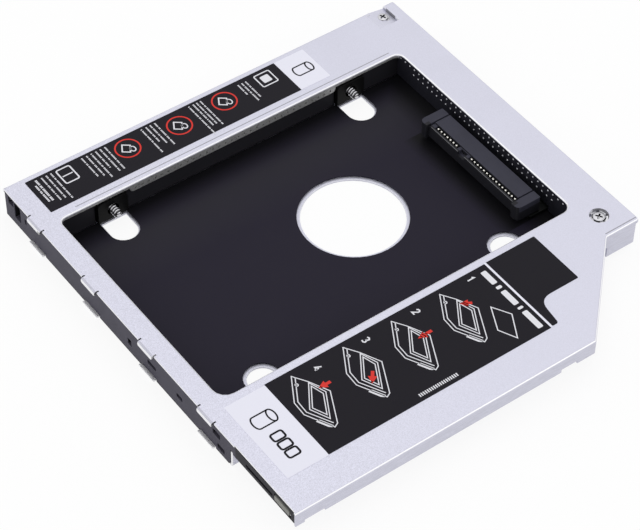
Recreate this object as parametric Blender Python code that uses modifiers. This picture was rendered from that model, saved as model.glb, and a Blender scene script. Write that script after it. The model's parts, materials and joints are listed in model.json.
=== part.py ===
"""Drive caddy that fills a laptop's slim optical bay and holds a 2.5 inch drive.

Millimetre sizes are turned into metres by MM. The origin is at the middle of the outline on the
resting plane, +X towards the thin wing, +Y towards the host plug, +Z up through the bay window.
"""

import math

import bmesh
import bpy

MM = 0.001

# Drive bay: its length follows from the drive's side screws and their distance from its ends
BAY_WIDTH = 72.05 * MM
LOCATOR_PITCH = 76.0 * MM
LOCATOR_FROM_FRONT = 15.65 * MM
LOCATOR_FROM_REAR = 16.45 * MM

# Rails round the bay, and the wing beside them
LEFT_RAIL = 18.0 * MM
RIGHT_RAIL = 13.05 * MM
FRONT_RAIL = 6.35 * MM
REAR_RAIL = 11.65 * MM
WING_WIDTH = 24.9 * MM
WING_THICKNESS = 4.6 * MM
TAIL_LENGTH = 10.95 * MM

# Sheet metal and clearances
SHEET = 0.5 * MM
BEND_INSIDE = 0.15 * MM
FLAT_CORNER = 0.15 * MM
GAP = 0.3 * MM
SKIRT_GAP = 0.4 * MM

# Edges of the bay window and of the cover
WINDOW_CORNERS = (1.8 * MM, 3.6 * MM, 2.6 * MM, 2.2 * MM)
WINDOW_LIP = 1.25 * MM
FLANGE_DROP = 2.8 * MM
FLANGE_FRONT_SPACE = 1.1 * MM
FLANGE_REAR_SPACE = 0.4 * MM
FLANGE_CORNER = 1.2 * MM
RIM = 1.2 * MM

# Tabs along the front edge
TAB_WIDTH = 6.0 * MM
TAB_DROP = 1.35 * MM
TAB_CORNER = 0.4 * MM
TAB_COUNT = 4
FIRST_TAB = 15.7 * MM
LAST_TAB = 11.2 * MM
SLIT_WIDTH = 0.4 * MM
SLIT_DEPTH = 1.3 * MM
TONGUE_WIDTH = 6.3 * MM
TONGUE_DROP = 0.8 * MM

# Side wall of the tail behind the wing, and the notches in the wing's skirt
TAIL_SKIRT = 8.0 * MM
FRONT_NOTCH_START = 3.2 * MM
FRONT_NOTCH_LENGTH = 5.8 * MM
FRONT_NOTCH_HEIGHT = 0.75 * MM
SIDE_NOTCH_START = 79.6 * MM
SIDE_NOTCH_LENGTH = 5.05 * MM
SIDE_NOTCH_HEIGHT = 1.0 * MM

# Perforation rows
HOLE_PITCH = 2.0 * MM
HOLE_RADIUS = 0.32 * MM
HOLE_SIDES = 6
UPPER_ROW_DROP = 0.6 * MM
LOWER_ROW_DROP = 2.6 * MM
FLANGE_ROW = 1.9 * MM
UPPER_ROW_START = 0.9 * MM
LOWER_ROW_START = 6.7 * MM
LOWER_ROW_END = 5.6 * MM

# Floor and liner
LINER = 0.3 * MM
FLOOR_HOLE_RADIUS = 14.7 * MM
FLOOR_HOLE_X = 35.7 * MM
FLOOR_HOLE_Y = 66.2 * MM
FLOOR_RIM = 0.9 * MM
CORNER_HOLE_RADIUS = 4.85 * MM
CORNER_HOLE_INSET = 5.35 * MM
SLOT_RADIUS = 4.22 * MM
SLOT_REACH = 9.25 * MM
SLOT_START = 0.2 * MM

# Locating blocks and their screws on the bay's left wall
LOCATOR_HEIGHT = 4.4 * MM
LOCATOR_RADIUS = 1.45 * MM
LOCATOR_REACH = 3.7 * MM
LOCATOR_TIP = 0.45 * MM
BLOCK_WIDTH = 9.0 * MM
BLOCK_DEPTH = 4.2 * MM
BLOCK_PROUD = 0.4 * MM
BLOCK_DROP = 1.2 * MM
BLOCK_CHAMFER = 0.8 * MM

# Chassis
CHAMBER_LEFT = 12.0 * MM
CHAMBER_RIGHT = 3.6 * MM
BACK_BAR = 1.1 * MM
FOOT_LIP = 0.55 * MM
FACE_SLOT_ROUND = 0.3 * MM
FACE_SLOT_DEPTH = 2.0 * MM
# Each slot in millimetres: from the left edge, height of its centre, width, height
FACE_SLOTS = (
    (6.1, 5.2, 3.0, 5.4),
    (3.0, 6.7, 2.6, 2.4),
    (10.0, 5.1, 0.8, 1.9),
    (58.3, 3.7, 1.7, 2.1),
    (68.1, 4.3, 3.7, 1.3),
    (80.1, 3.9, 2.5, 1.4),
    (95.7, 5.8, 3.1, 1.8),
    (97.5, 2.1, 3.0, 1.6),
)
WING_SLOT_WIDTH = 10.7 * MM
WING_SLOT_HEIGHT = 0.9 * MM
WING_SLOT_FROM_STEP = 4.6 * MM
WING_SLOT_DROP = 3.1 * MM
END_CAP_WIDTH = 5.8 * MM
END_CAP_HEIGHT = 1.7 * MM
END_CAP_DEPTH = 3.0 * MM
END_CAP_FROM_SIDE = 2.7 * MM

# Drive receptacle: seven signal and fifteen power contacts
CONTACT_PITCH = 1.27 * MM
SIGNAL_COUNT = 7
POWER_COUNT = 15
SEGMENT_STEP = 6.35 * MM
LAST_CONTACT_INSET = 12.65 * MM
CONTACT_WIDTH = 0.5 * MM
CONTACT_SHEET = 0.25 * MM
CONTACT_HEIGHT = 4.45 * MM
CONTACT_BULGE = 0.35 * MM
CONTACT_ROOM = 0.55 * MM
CONTACT_TAIL = 1.5 * MM
RECEPTACLE_HEIGHT = 4.7 * MM
BODY_BACK = 2.4 * MM
BODY_FACE = 7.3 * MM
SLOT_GAP = 1.2 * MM
LIP_WALL = 0.6 * MM
LIP_DROP = 0.4 * MM
EAR_WIDTH = 2.8 * MM
EAR_MARGIN = 2.6 * MM
EAR_REACH = 0.9 * MM
EAR_ROUND = 1.3 * MM
EAR_GROOVE = 0.4 * MM
EAR_GROOVE_DEPTH = 0.9 * MM
SLOT_MARGIN = 0.9 * MM

# Adapter board and host plug
BOARD = 0.8 * MM
BOARD_TONGUE_SIDE = 0.4 * MM
BOARD_TONGUE_FRONT = 2.6 * MM
PLUG_FROM_WINDOW = 5.4 * MM
PLUG_DEPTH = 6.6 * MM
PLUG_HEIGHT = 4.9 * MM
PLUG_HEADROOM = 1.3 * MM
PLUG_WALL = 0.7 * MM
PLUG_END = 1.4 * MM
PLUG_MOUTH = 5.0 * MM
PLUG_TONGUE = 1.1 * MM
PLUG_TONGUE_SETBACK = 0.8 * MM
PLUG_CLEAR = 0.35 * MM
HOST_SIGNAL_COUNT = 7
HOST_POWER_COUNT = 6
HOST_POWER_PITCH = 1.0 * MM
HOST_SEGMENT_STEP = 3.4 * MM
HOST_CONTACT_LENGTH = 3.4 * MM
HOST_CONTACT_SHEET = 0.2 * MM
HOST_CONTACT_WIDTH = 0.5 * MM

# Screws
SEAT_DEPTH = 1.25 * MM
SEAT_RADIUS = 2.55 * MM
SEAT_SLOPE = 0.2 * MM
HEAD_RADIUS = 1.95 * MM
HEAD_HEIGHT = 0.7 * MM
HEAD_ROUND = 0.25 * MM
SHANK_RADIUS = 0.8 * MM
SHANK_LENGTH = 4.0 * MM
RIGHT_SCREW_FROM_STEP = 6.8 * MM
RIGHT_SCREW_FROM_REAR = 7.75 * MM
LEFT_SCREW_FROM_SIDE = 3.5 * MM
LEFT_SCREW_FROM_REAR = 6.15 * MM
CORNER_SEAT_WALL = 1.0 * MM
CORNER_SEAT_WIDTH = 5.2 * MM
CORNER_SEAT_LENGTH = 5.4 * MM
CORNER_SEAT_SLOPE = 1.6 * MM
BOARD_SCREW_FROM_END = 4.0 * MM
BOARD_HEAD_RADIUS = 1.6 * MM
BOARD_HEAD_HEIGHT = 0.6 * MM
STANDOFF_RADIUS = 2.4 * MM

# Drawing tolerance, cutting overlap and the number of sides of round forms
WELD = 0.001 * MM
EPS = 0.5 * MM
FOLD_STEPS = 3
FLOOR_HOLE_SIDES = 48
CORNER_HOLE_SIDES = 28
SLOT_END_SIDES = 12
SCREW_SIDES = 20
BORE_SIDES = 16
SEAT_SIDES = 24
ROUND_END = 0.98

# Plan, centred on the origin
BAY_LENGTH = LOCATOR_FROM_FRONT + LOCATOR_PITCH + LOCATOR_FROM_REAR
BODY_WIDTH = LEFT_RAIL + BAY_WIDTH + RIGHT_RAIL
CADDY_WIDTH = BODY_WIDTH + WING_WIDTH
CADDY_DEPTH = FRONT_RAIL + BAY_LENGTH + REAR_RAIL
LEFT = -CADDY_WIDTH / 2
RIGHT = CADDY_WIDTH / 2
FRONT = -CADDY_DEPTH / 2
REAR = CADDY_DEPTH / 2
STEP_X = LEFT + BODY_WIDTH
WINDOW_LEFT = LEFT + LEFT_RAIL
WINDOW_RIGHT = WINDOW_LEFT + BAY_WIDTH
WINDOW_FRONT = FRONT + FRONT_RAIL
WINDOW_REAR = WINDOW_FRONT + BAY_LENGTH
FRONT_LOCATOR_Y = WINDOW_FRONT + LOCATOR_FROM_FRONT
REAR_LOCATOR_Y = FRONT_LOCATOR_Y + LOCATOR_PITCH

# Insets from the outline, inwards
BEND = SHEET + BEND_INSIDE
WALL_INSET = SHEET + SKIRT_GAP
CORE_INSET = WALL_INSET + SHEET + GAP
BAY_MARGIN = SHEET + GAP
FACE_Y = FRONT + WALL_INSET
PLUG_REAR = REAR - WALL_INSET

# Heights, stacked from the resting plane
LINER_BOTTOM = SHEET + GAP
LINER_TOP = LINER_BOTTOM + LINER
BOARD_BOTTOM = LINER_TOP + GAP
BOARD_TOP = BOARD_BOTTOM + BOARD
SOLDER_TOP = BOARD_TOP + GAP
BODY_TOP = SOLDER_TOP + RECEPTACLE_HEIGHT
LIP_TOP = BODY_TOP - LIP_DROP
CONTACT_TIP = SOLDER_TOP + CONTACT_HEIGHT
INNER_TOP = SOLDER_TOP + PLUG_HEIGHT + PLUG_HEADROOM
PLATE_BOTTOM = INNER_TOP + GAP
TOP = PLATE_BOTTOM + SHEET
WING_BOTTOM = TOP - WING_THICKNESS
BLOCK_TOP = PLATE_BOTTOM - BLOCK_DROP


def clear_scene():
    """Start from an empty scene."""
    for item in list(bpy.data.objects):
        bpy.data.objects.remove(item, do_unlink=True)


def make_collection(name):
    """Add a collection to the scene."""
    group = bpy.data.collections.new(name)
    bpy.context.scene.collection.children.link(group)
    return group


def make_material(name, colour, roughness, metallic):
    """Make a Principled material."""
    material = bpy.data.materials.new(name)
    material.use_nodes = True
    shader = material.node_tree.nodes["Principled BSDF"]
    shader.inputs["Base Color"].default_value = (*colour, 1.0)
    shader.inputs["Roughness"].default_value = roughness
    shader.inputs["Metallic"].default_value = metallic
    return material


clear_scene()
PARTS = make_collection("drive_caddy")
CUTTERS = make_collection("cutters")
SILVER = make_material("silver_sheet", (0.70, 0.71, 0.76), 0.38, 0.7)
FRAME_GREY = make_material("frame_grey", (0.08, 0.08, 0.1), 0.55, 0.0)
BLACK_FILM = make_material("black_film", (0.025, 0.024, 0.033), 0.5, 0.0)
BLACK_MOULDING = make_material("black_moulding", (0.02, 0.02, 0.022), 0.45, 0.0)
CONNECTOR_GREY = make_material("connector_grey", (0.07, 0.075, 0.09), 0.6, 0.0)
CONTACT_METAL = make_material("contact_metal", (0.85, 0.8, 0.68), 0.25, 1.0)
STEEL = make_material("steel", (0.72, 0.72, 0.72), 0.25, 1.0)
BOARD_BLACK = make_material("board", (0.015, 0.018, 0.017), 0.45, 0.0)
CAP_GREY = make_material("cap_grey", (0.35, 0.35, 0.36), 0.5, 0.0)


def link_mesh(name, mesh, group, material=None):
    """Put a mesh into a collection under the given name."""
    mesh.name = name
    item = bpy.data.objects.new(name, mesh)
    group.objects.link(item)
    if material:
        mesh.materials.clear()
        mesh.materials.append(material)
    return item


def as_cutter(item):
    """Show a cutting body as wire only."""
    item.hide_render = True
    item.display_type = "WIRE"
    return item


def cut(target, tool):
    """Take one body out of another."""
    change = target.modifiers.new(tool.name, "BOOLEAN")
    change.operation = "DIFFERENCE"
    change.object = as_cutter(tool)


def join(target, tool):
    """Add one body to another."""
    change = target.modifiers.new(tool.name, "BOOLEAN")
    change.operation = "UNION"
    change.object = as_cutter(tool)


def rectangle(x0, y0, x1, y1):
    """Corners of a rectangle, counter-clockwise."""
    return [(x0, y0), (x1, y0), (x1, y1), (x0, y1)]


def ring(x, y, radius, sides):
    """Points of a regular polygon."""
    turn = 2 * math.pi / sides
    return [(x + radius * math.cos(turn * i), y + radius * math.sin(turn * i)) for i in range(sides)]


def fillet(corners, radii, steps=4):
    """Round the corners of a polygon, each with its own radius."""
    points = []
    count = len(corners)
    for i, (x, y) in enumerate(corners):
        radius = radii[i]
        if radius <= 0:
            points.append((x, y))
            continue
        px, py = corners[i - 1]
        nx, ny = corners[(i + 1) % count]
        before = math.hypot(px - x, py - y)
        after = math.hypot(nx - x, ny - y)
        ax, ay = (px - x) / before, (py - y) / before
        bx, by = (nx - x) / after, (ny - y) / after
        half = math.acos(max(-1.0, min(1.0, ax * bx + ay * by))) / 2
        tangent = radius / math.tan(half)
        start = (x + ax * tangent, y + ay * tangent)
        end = (x + bx * tangent, y + by * tangent)
        middle_x, middle_y = (ax + bx), (ay + by)
        length = math.hypot(middle_x, middle_y)
        reach = radius / math.sin(half)
        centre = (x + middle_x / length * reach, y + middle_y / length * reach)
        first = math.atan2(start[1] - centre[1], start[0] - centre[0])
        sweep = math.atan2(end[1] - centre[1], end[0] - centre[0]) - first
        sweep = (sweep + math.pi) % (2 * math.pi) - math.pi
        for k in range(steps + 1):
            angle = first + sweep * k / steps
            points.append((centre[0] + radius * math.cos(angle), centre[1] + radius * math.sin(angle)))
    return points


def inset(corners, distance, still=()):
    """Move the sides of a counter-clockwise polygon inwards, apart from those that stand still."""
    lines = []
    count = len(corners)
    for i, (x, y) in enumerate(corners):
        nx, ny = corners[(i + 1) % count]
        length = math.hypot(nx - x, ny - y)
        ux, uy = (nx - x) / length, (ny - y) / length
        move = 0.0 if i in still else distance
        lines.append((x - uy * move, y + ux * move, ux, uy))
    moved = []
    for i in range(count):
        ax, ay, aux, auy = lines[i - 1]
        bx, by, bux, buy = lines[i]
        t = ((bx - ax) * buy - (by - ay) * bux) / (aux * buy - auy * bux)
        moved.append((ax + aux * t, ay + auy * t))
    return moved


def plan_corners(ahead=0.0):
    """The caddy's outline: a box with the wing's sloping rear corner. Its front may be drawn ahead."""
    slope_end = REAR - TAIL_LENGTH
    slope_start = slope_end - WING_WIDTH
    return [
        (LEFT, FRONT - ahead),
        (RIGHT, FRONT - ahead),
        (RIGHT, slope_start),
        (STEP_X, slope_end),
        (STEP_X, REAR),
        (LEFT, REAR),
    ]


def outline_mesh(loops, half=0.0):
    """Fill closed outlines as a flat curve and return the welded mesh."""
    curve = bpy.data.curves.new("outline", "CURVE")
    curve.dimensions = "2D"
    curve.fill_mode = "BOTH"
    curve.extrude = half
    for loop in loops:
        spline = curve.splines.new("POLY")
        spline.points.add(len(loop) - 1)
        for point, (x, y) in zip(spline.points, loop):
            point.co = (x, y, 0.0, 1.0)
        spline.use_cyclic_u = True
    holder = bpy.data.objects.new("outline", curve)
    bpy.context.scene.collection.objects.link(holder)
    bpy.context.view_layer.update()
    evaluated = holder.evaluated_get(bpy.context.evaluated_depsgraph_get())
    mesh = bpy.data.meshes.new_from_object(evaluated)
    bpy.data.objects.remove(holder, do_unlink=True)
    body = bmesh.new()
    body.from_mesh(mesh)
    bmesh.ops.remove_doubles(body, verts=body.verts, dist=WELD)
    bmesh.ops.recalc_face_normals(body, faces=body.faces)
    body.to_mesh(mesh)
    body.free()
    return mesh


def flat_slab(name, loops, low, high, group=None, material=None):
    """Extrude outlines drawn in plan from one height to another."""
    item = link_mesh(name, outline_mesh(loops, (high - low) / 2), group or CUTTERS, material)
    item.location.z = (low + high) / 2
    return item


def front_slab(name, loops, near, far, group=None, material=None):
    """Extrude outlines drawn in X and Z from one depth to another."""
    item = link_mesh(name, outline_mesh(loops, (far - near) / 2), group or CUTTERS, material)
    item.rotation_euler.x = math.pi / 2
    item.location.y = (near + far) / 2
    return item


def side_slab(name, loops, near, far, group=None, material=None):
    """Extrude outlines drawn in Y and Z from one X to another."""
    item = link_mesh(name, outline_mesh(loops, (far - near) / 2), group or CUTTERS, material)
    item.rotation_euler = (math.pi / 2, 0.0, math.pi / 2)
    item.location.x = (near + far) / 2
    return item


def box(name, low, high, group=None, material=None):
    """A rectangular block between two corners."""
    return flat_slab(name, [rectangle(low[0], low[1], high[0], high[1])], low[2], high[2], group, material)


def turned(name, profile, group=None, material=None, steps=SEAT_SIDES):
    """Turn a profile of (radius, height) pairs, listed from the top down, about the Z axis."""
    mesh = bpy.data.meshes.new(name)
    points = [(radius, 0.0, height) for radius, height in profile]
    mesh.from_pydata(points, [(i, i + 1) for i in range(len(points) - 1)], [])
    item = link_mesh(name, mesh, group or CUTTERS, material)
    spin = item.modifiers.new("turn", "SCREW")
    spin.steps = steps
    spin.render_steps = steps
    spin.use_merge_vertices = True
    spin.merge_threshold = WELD
    return item


def loft(name, levels, group=None, material=None):
    """A closed body through rising outlines of as many points each."""
    count = len(levels[0][0])
    points = [(x, y, height) for outline, height in levels for x, y in outline]
    faces = [tuple(reversed(range(count))), tuple(range(len(points) - count, len(points)))]
    for start in range(0, len(points) - count, count):
        for i in range(count):
            after = (i + 1) % count
            faces.append((start + i, start + after, start + after + count, start + i + count))
    mesh = bpy.data.meshes.new(name)
    mesh.from_pydata(points, [], faces)
    return link_mesh(name, mesh, group or CUTTERS, material)


def tray_outline(corners, open_sides, distance):
    """Outline of a folded tray at a distance inside its walls, round at the corners between them."""
    moved = inset(corners, distance, open_sides)
    radii = []
    for i, (x, y) in enumerate(corners):
        if i in open_sides or (i - 1) % len(corners) in open_sides:
            radii.append(0.0)
            continue
        px, py = corners[i - 1]
        nx, ny = corners[(i + 1) % len(corners)]
        hollow = (x - px) * (ny - y) < (y - py) * (nx - x)
        radii.append(BEND + FLAT_CORNER + (distance if hollow else -distance))
    return fillet(moved, radii)


def fold_levels(corners, open_sides, rim, flat, distance=0.0, bend=None):
    """Outlines of a folded tray from its rim to its flat face, in rising order."""
    bend = BEND if bend is None else bend
    up = 1 if flat > rim else -1
    levels = [(tray_outline(corners, open_sides, distance), rim)]
    for step in range(FOLD_STEPS + 1):
        turn = math.pi / 2 * step / FOLD_STEPS
        outline = tray_outline(corners, open_sides, distance + bend * (1 - math.cos(turn)))
        levels.append((outline, flat - up * bend * (1 - math.sin(turn))))
    return levels[::up]


def tab_centres():
    """Middles of the front tabs, spread evenly between the first and the last."""
    first = LEFT + FIRST_TAB
    pitch = (STEP_X - LAST_TAB - first) / (TAB_COUNT - 1)
    return [first + pitch * i for i in range(TAB_COUNT)]


def window_outline(margin=0.0):
    """Outline of the bay window, grown by a margin."""
    corners = rectangle(
        WINDOW_LEFT - margin, WINDOW_FRONT - margin, WINDOW_RIGHT + margin, WINDOW_REAR + margin
    )
    return fillet(corners, [radius + margin for radius in WINDOW_CORNERS])


def folded_cover():
    """The cover's plate with its skirt, open at the front."""
    cover = loft("top_cover", fold_levels(plan_corners(), {0}, WING_BOTTOM, TOP), PARTS, SILVER)
    room = fold_levels(plan_corners(EPS), {0}, WING_BOTTOM - EPS, PLATE_BOTTOM, SHEET, BEND_INSIDE)
    cut(cover, loft("cover_room", room))
    return cover


def open_window(cover):
    """Fold a lip down round the bay window, and open the window with a rounded mouth."""
    lip = [(window_outline(SHEET), TOP - FLANGE_DROP), (window_outline(SHEET), TOP - SHEET / 2)]
    join(cover, loft("window_lip", lip))
    levels = [(window_outline(), TOP - FLANGE_DROP - EPS)]
    for step in range(FOLD_STEPS + 1):
        turn = math.pi / 2 * step / FOLD_STEPS
        outline = window_outline(BEND * (1 - math.cos(turn)))
        levels.append((outline, TOP - BEND * (1 - math.sin(turn))))
    levels.append((window_outline(BEND), TOP + EPS))
    cut(cover, loft("window_mouth", levels))


def fold_tabs(cover):
    """Cut the slits beside the front tabs, fold the tabs down and round their folds."""
    tabs, slits = [], []
    for middle in tab_centres():
        half = TAB_WIDTH / 2
        tab = rectangle(middle - half, TOP - TAB_DROP, middle + half, TOP - SHEET / 2)
        tabs.append(fillet(tab, (TAB_CORNER, TAB_CORNER, 0, 0)))
        for side in (middle - half - SLIT_WIDTH, middle + half):
            slits.append(rectangle(side, FRONT - EPS, side + SLIT_WIDTH, FRONT + SLIT_DEPTH))
    join(cover, front_slab("tabs", tabs, FRONT, FRONT + SHEET))
    corner = rectangle(FRONT - EPS, TOP - BEND, FRONT + BEND, TOP + EPS)
    turns = [math.pi / 2 * step / FOLD_STEPS for step in range(FOLD_STEPS + 1)]
    arc = [(FRONT + BEND * (1 - math.sin(a)), TOP - BEND * (1 - math.cos(a))) for a in turns]
    outline = [corner[0]] + arc[::-1] + [corner[2], corner[3]]
    reach = (TAB_WIDTH + SLIT_WIDTH) / 2
    for number, middle in enumerate(tab_centres()):
        cut(cover, side_slab(f"tab_fold_{number}", [outline], middle - reach, middle + reach))
    cut(cover, flat_slab("tab_slits", slits, TOP - TAB_DROP - EPS, TOP + EPS))


def trim_skirt(cover):
    """Shorten the skirt where the cover has a narrow rim, and notch it beside the wing."""
    slope_end = plan_corners()[3][1]
    low = WING_BOTTOM - EPS
    rim = TOP - RIM
    wide = BEND + SHEET
    cut(cover, box("trim_left", (LEFT - EPS, FRONT - EPS, low), (LEFT + wide, REAR + EPS, rim)))
    cut(cover, box("trim_rear", (LEFT + EPS, REAR - wide, low), (STEP_X + EPS, REAR + EPS, rim)))
    side_low = (STEP_X - SHEET, slope_end + BEND, TOP - TAIL_SKIRT)
    join(cover, box("tail_side", side_low, (STEP_X, REAR - wide, WING_BOTTOM + EPS)))
    notches = (
        (FRONT + FRONT_NOTCH_START, FRONT_NOTCH_LENGTH, FRONT_NOTCH_HEIGHT),
        (FRONT + SIDE_NOTCH_START, SIDE_NOTCH_LENGTH, SIDE_NOTCH_HEIGHT),
    )
    for number, (start, length, height) in enumerate(notches):
        top = WING_BOTTOM + height
        notch = box(f"wing_notch_{number}", (RIGHT - wide, start, low), (RIGHT + EPS, start + length, top))
        cut(cover, notch)


def trim_lip(cover):
    """Shorten the window lip to its narrow band, apart from the flange between the blocks."""
    bottom = TOP - FLANGE_DROP - EPS
    band = TOP - WINDOW_LIP
    wide = BEND + SHEET
    flange_front = FRONT_LOCATOR_Y + BLOCK_WIDTH / 2 + FLANGE_FRONT_SPACE
    flange_rear = REAR_LOCATOR_Y - BLOCK_WIDTH / 2 - FLANGE_REAR_SPACE
    far_left = WINDOW_LEFT - wide
    keep_radii = (FLANGE_CORNER, FLANGE_CORNER, 0, 0)
    flange = rectangle(flange_front, TOP - FLANGE_DROP, flange_rear, band + EPS)
    around = rectangle(WINDOW_FRONT - wide, bottom, WINDOW_REAR + wide, band)
    remove = [around[0], around[1], around[2]]
    remove.append((flange_rear, band))
    remove.extend(reversed(fillet(flange, keep_radii)[:-2]))
    remove.append((flange_front, band))
    remove.append(around[3])
    cut(cover, side_slab("trim_left_lip", [remove], far_left, WINDOW_LEFT + EPS))
    others = rectangle(WINDOW_LEFT + EPS, WINDOW_FRONT - wide, WINDOW_RIGHT + wide, WINDOW_REAR + wide)
    cut(cover, flat_slab("trim_other_lips", [others], bottom, band))
    back = rectangle(WINDOW_LEFT - wide, WINDOW_REAR - EPS, WINDOW_RIGHT + wide, WINDOW_REAR + wide)
    cut(cover, flat_slab("trim_rear_lip", [back], bottom, PLATE_BOTTOM))
    count = int((flange_rear - flange_front - 2 * HOLE_PITCH / 2) / HOLE_PITCH) + 1
    first = (flange_front + flange_rear - (count - 1) * HOLE_PITCH) / 2
    row = TOP - FLANGE_ROW
    holes = [ring(first + HOLE_PITCH * i, row, HOLE_RADIUS, HOLE_SIDES) for i in range(count)]
    cut(cover, side_slab("flange_holes", holes, far_left, WINDOW_LEFT + EPS))


def screw_places():
    """Plan positions of the two cover screws: rear left and rear right."""
    rear_left = (LEFT + LEFT_SCREW_FROM_SIDE, REAR - LEFT_SCREW_FROM_REAR)
    rear_right = (STEP_X - RIGHT_SCREW_FROM_STEP, REAR - RIGHT_SCREW_FROM_REAR)
    return rear_left, rear_right


def corner_seat(name, margin, low, high, slope):
    """Sunken corner seat, steep at the outer sides and sloping up at the inner ones."""
    x0 = LEFT + CORNER_SEAT_WALL - margin
    y1 = REAR - LEFT_SCREW_FROM_REAR + CORNER_SEAT_LENGTH / 2 + margin
    x1 = x0 + CORNER_SEAT_WIDTH + 2 * margin
    y0 = y1 - CORNER_SEAT_LENGTH - 2 * margin
    item = box(name, (x0, y0, low), (x1, y1, high))
    middle = (low + high) / 2
    for vertex in item.data.vertices:
        if vertex.co.z + middle > middle:
            vertex.co.x += slope if vertex.co.x > (x0 + x1) / 2 else 0.0
            vertex.co.y -= slope if vertex.co.y < (y0 + y1) / 2 else 0.0
    return item


def sink_seats(cover):
    """Press the two screw seats into the cover and pierce them."""
    floor = TOP - SEAT_DEPTH
    under = floor - SHEET
    rear_left, rear_right = screw_places()
    cup = turned("round_cup", [
        (0.0, TOP - SHEET / 2),
        (SEAT_RADIUS + SHEET, TOP - SHEET / 2),
        (SEAT_RADIUS + SHEET - SEAT_SLOPE, under),
        (0.0, under),
    ])
    dish = turned("round_dish", [
        (0.0, TOP + EPS),
        (SEAT_RADIUS + SEAT_SLOPE, TOP + EPS),
        (SEAT_RADIUS, TOP - SEAT_SLOPE),
        (SEAT_RADIUS - SEAT_SLOPE, floor),
        (0.0, floor),
    ])
    for item in (cup, dish):
        item.location.x, item.location.y = rear_right
    join(cover, cup)
    cut(cover, dish)
    slope = CORNER_SEAT_SLOPE
    tray = corner_seat("corner_tray", SHEET, under, TOP - SHEET / 2, slope)
    pocket = corner_seat("corner_pocket", 0.0, floor, TOP + EPS, slope)
    join(cover, tray)
    cut(cover, pocket)
    for number, (x, y) in enumerate((rear_left, rear_right)):
        hole = ring(x, y, SHANK_RADIUS + GAP, BORE_SIDES)
        cut(cover, flat_slab(f"screw_hole_{number}", [hole], under - EPS, floor + EPS))


def build_cover():
    """The folded top cover."""
    cover = folded_cover()
    open_window(cover)
    fold_tabs(cover)
    trim_skirt(cover)
    trim_lip(cover)
    sink_seats(cover)


def slot_outline(locator_y, margin):
    """Half-round ended cut-out in the floor beside a locating block."""
    x0 = WINDOW_LEFT - SLOT_START + margin
    radius = SLOT_RADIUS - margin
    centre_x = WINDOW_LEFT + SLOT_REACH - SLOT_RADIUS
    arc = [math.pi * (i / SLOT_END_SIDES - 0.5) for i in range(SLOT_END_SIDES + 1)]
    end = [(centre_x + radius * math.cos(a), locator_y + radius * math.sin(a)) for a in arc]
    return [(x0, locator_y - radius)] + end + [(x0, locator_y + radius)]


def floor_loops(margin):
    """Cut-outs that pass through the liner and the pan's floor."""
    hole_x = WINDOW_LEFT + FLOOR_HOLE_X
    hole_y = WINDOW_FRONT + FLOOR_HOLE_Y
    corner_x = WINDOW_RIGHT - CORNER_HOLE_INSET
    loops = [ring(hole_x, hole_y, FLOOR_HOLE_RADIUS - margin, FLOOR_HOLE_SIDES)]
    for locator_y in (FRONT_LOCATOR_Y, REAR_LOCATOR_Y):
        loops.append(slot_outline(locator_y, margin / 2))
        loops.append(ring(corner_x, locator_y, CORNER_HOLE_RADIUS - margin, CORNER_HOLE_SIDES))
    return loops


def pan_corners(ahead=0.0):
    """Plan of the pan's deep part. Its front may be drawn ahead."""
    front = FACE_Y - ahead
    return rectangle(LEFT + WALL_INSET, front, STEP_X - WALL_INSET, REAR - WALL_INSET)


def wing_corners(ahead=0.0, short=0.0):
    """Plan of the pan's shelf under the wing, rooted inside the deep part and cut short at its rear."""
    outer = inset(plan_corners(), WALL_INSET)
    root = outer[3][0] - SHEET - 2 * BEND
    front = FACE_Y - ahead
    end = outer[3][1] - short
    return [(root, front), (outer[2][0], front), outer[2], (outer[3][0] + short, end), (root, end)]


def pan_tongue(number, middle, setback):
    """Tongue that runs out of the pan's floor and turns up at the front edge."""
    low = min(BEND, TONGUE_DROP - BEND_INSIDE)
    outline = fillet(
        [
            (setback + EPS, 0.0),
            (setback + EPS, SHEET),
            (FRONT + SHEET, SHEET),
            (FRONT + SHEET, TONGUE_DROP),
            (FRONT, TONGUE_DROP),
            (FRONT, 0.0),
        ],
        (0, 0, BEND_INSIDE, 0, 0, low),
    )
    half = TONGUE_WIDTH / 2
    return side_slab(f"tongue_{number}", [outline], middle - half, middle + half)


def folded_pan():
    """The pan's floor and walls, stepped up under the wing and open at the front."""
    body_open, wing_open = {0}, {0, 3, 4}
    pan = loft("bottom_pan", fold_levels(pan_corners(), body_open, INNER_TOP, 0.0), PARTS, SILVER)
    join(pan, loft("wing_tray", fold_levels(wing_corners(), wing_open, INNER_TOP, WING_BOTTOM)))
    above = INNER_TOP + EPS
    room = fold_levels(pan_corners(EPS), body_open, above, SHEET, SHEET, BEND_INSIDE)
    cut(pan, loft("body_room", room))
    shelf = WING_BOTTOM + SHEET
    room = fold_levels(wing_corners(EPS, SHEET), wing_open, above, shelf, SHEET, BEND_INSIDE)
    cut(pan, loft("wing_room", room))
    return pan


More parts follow.
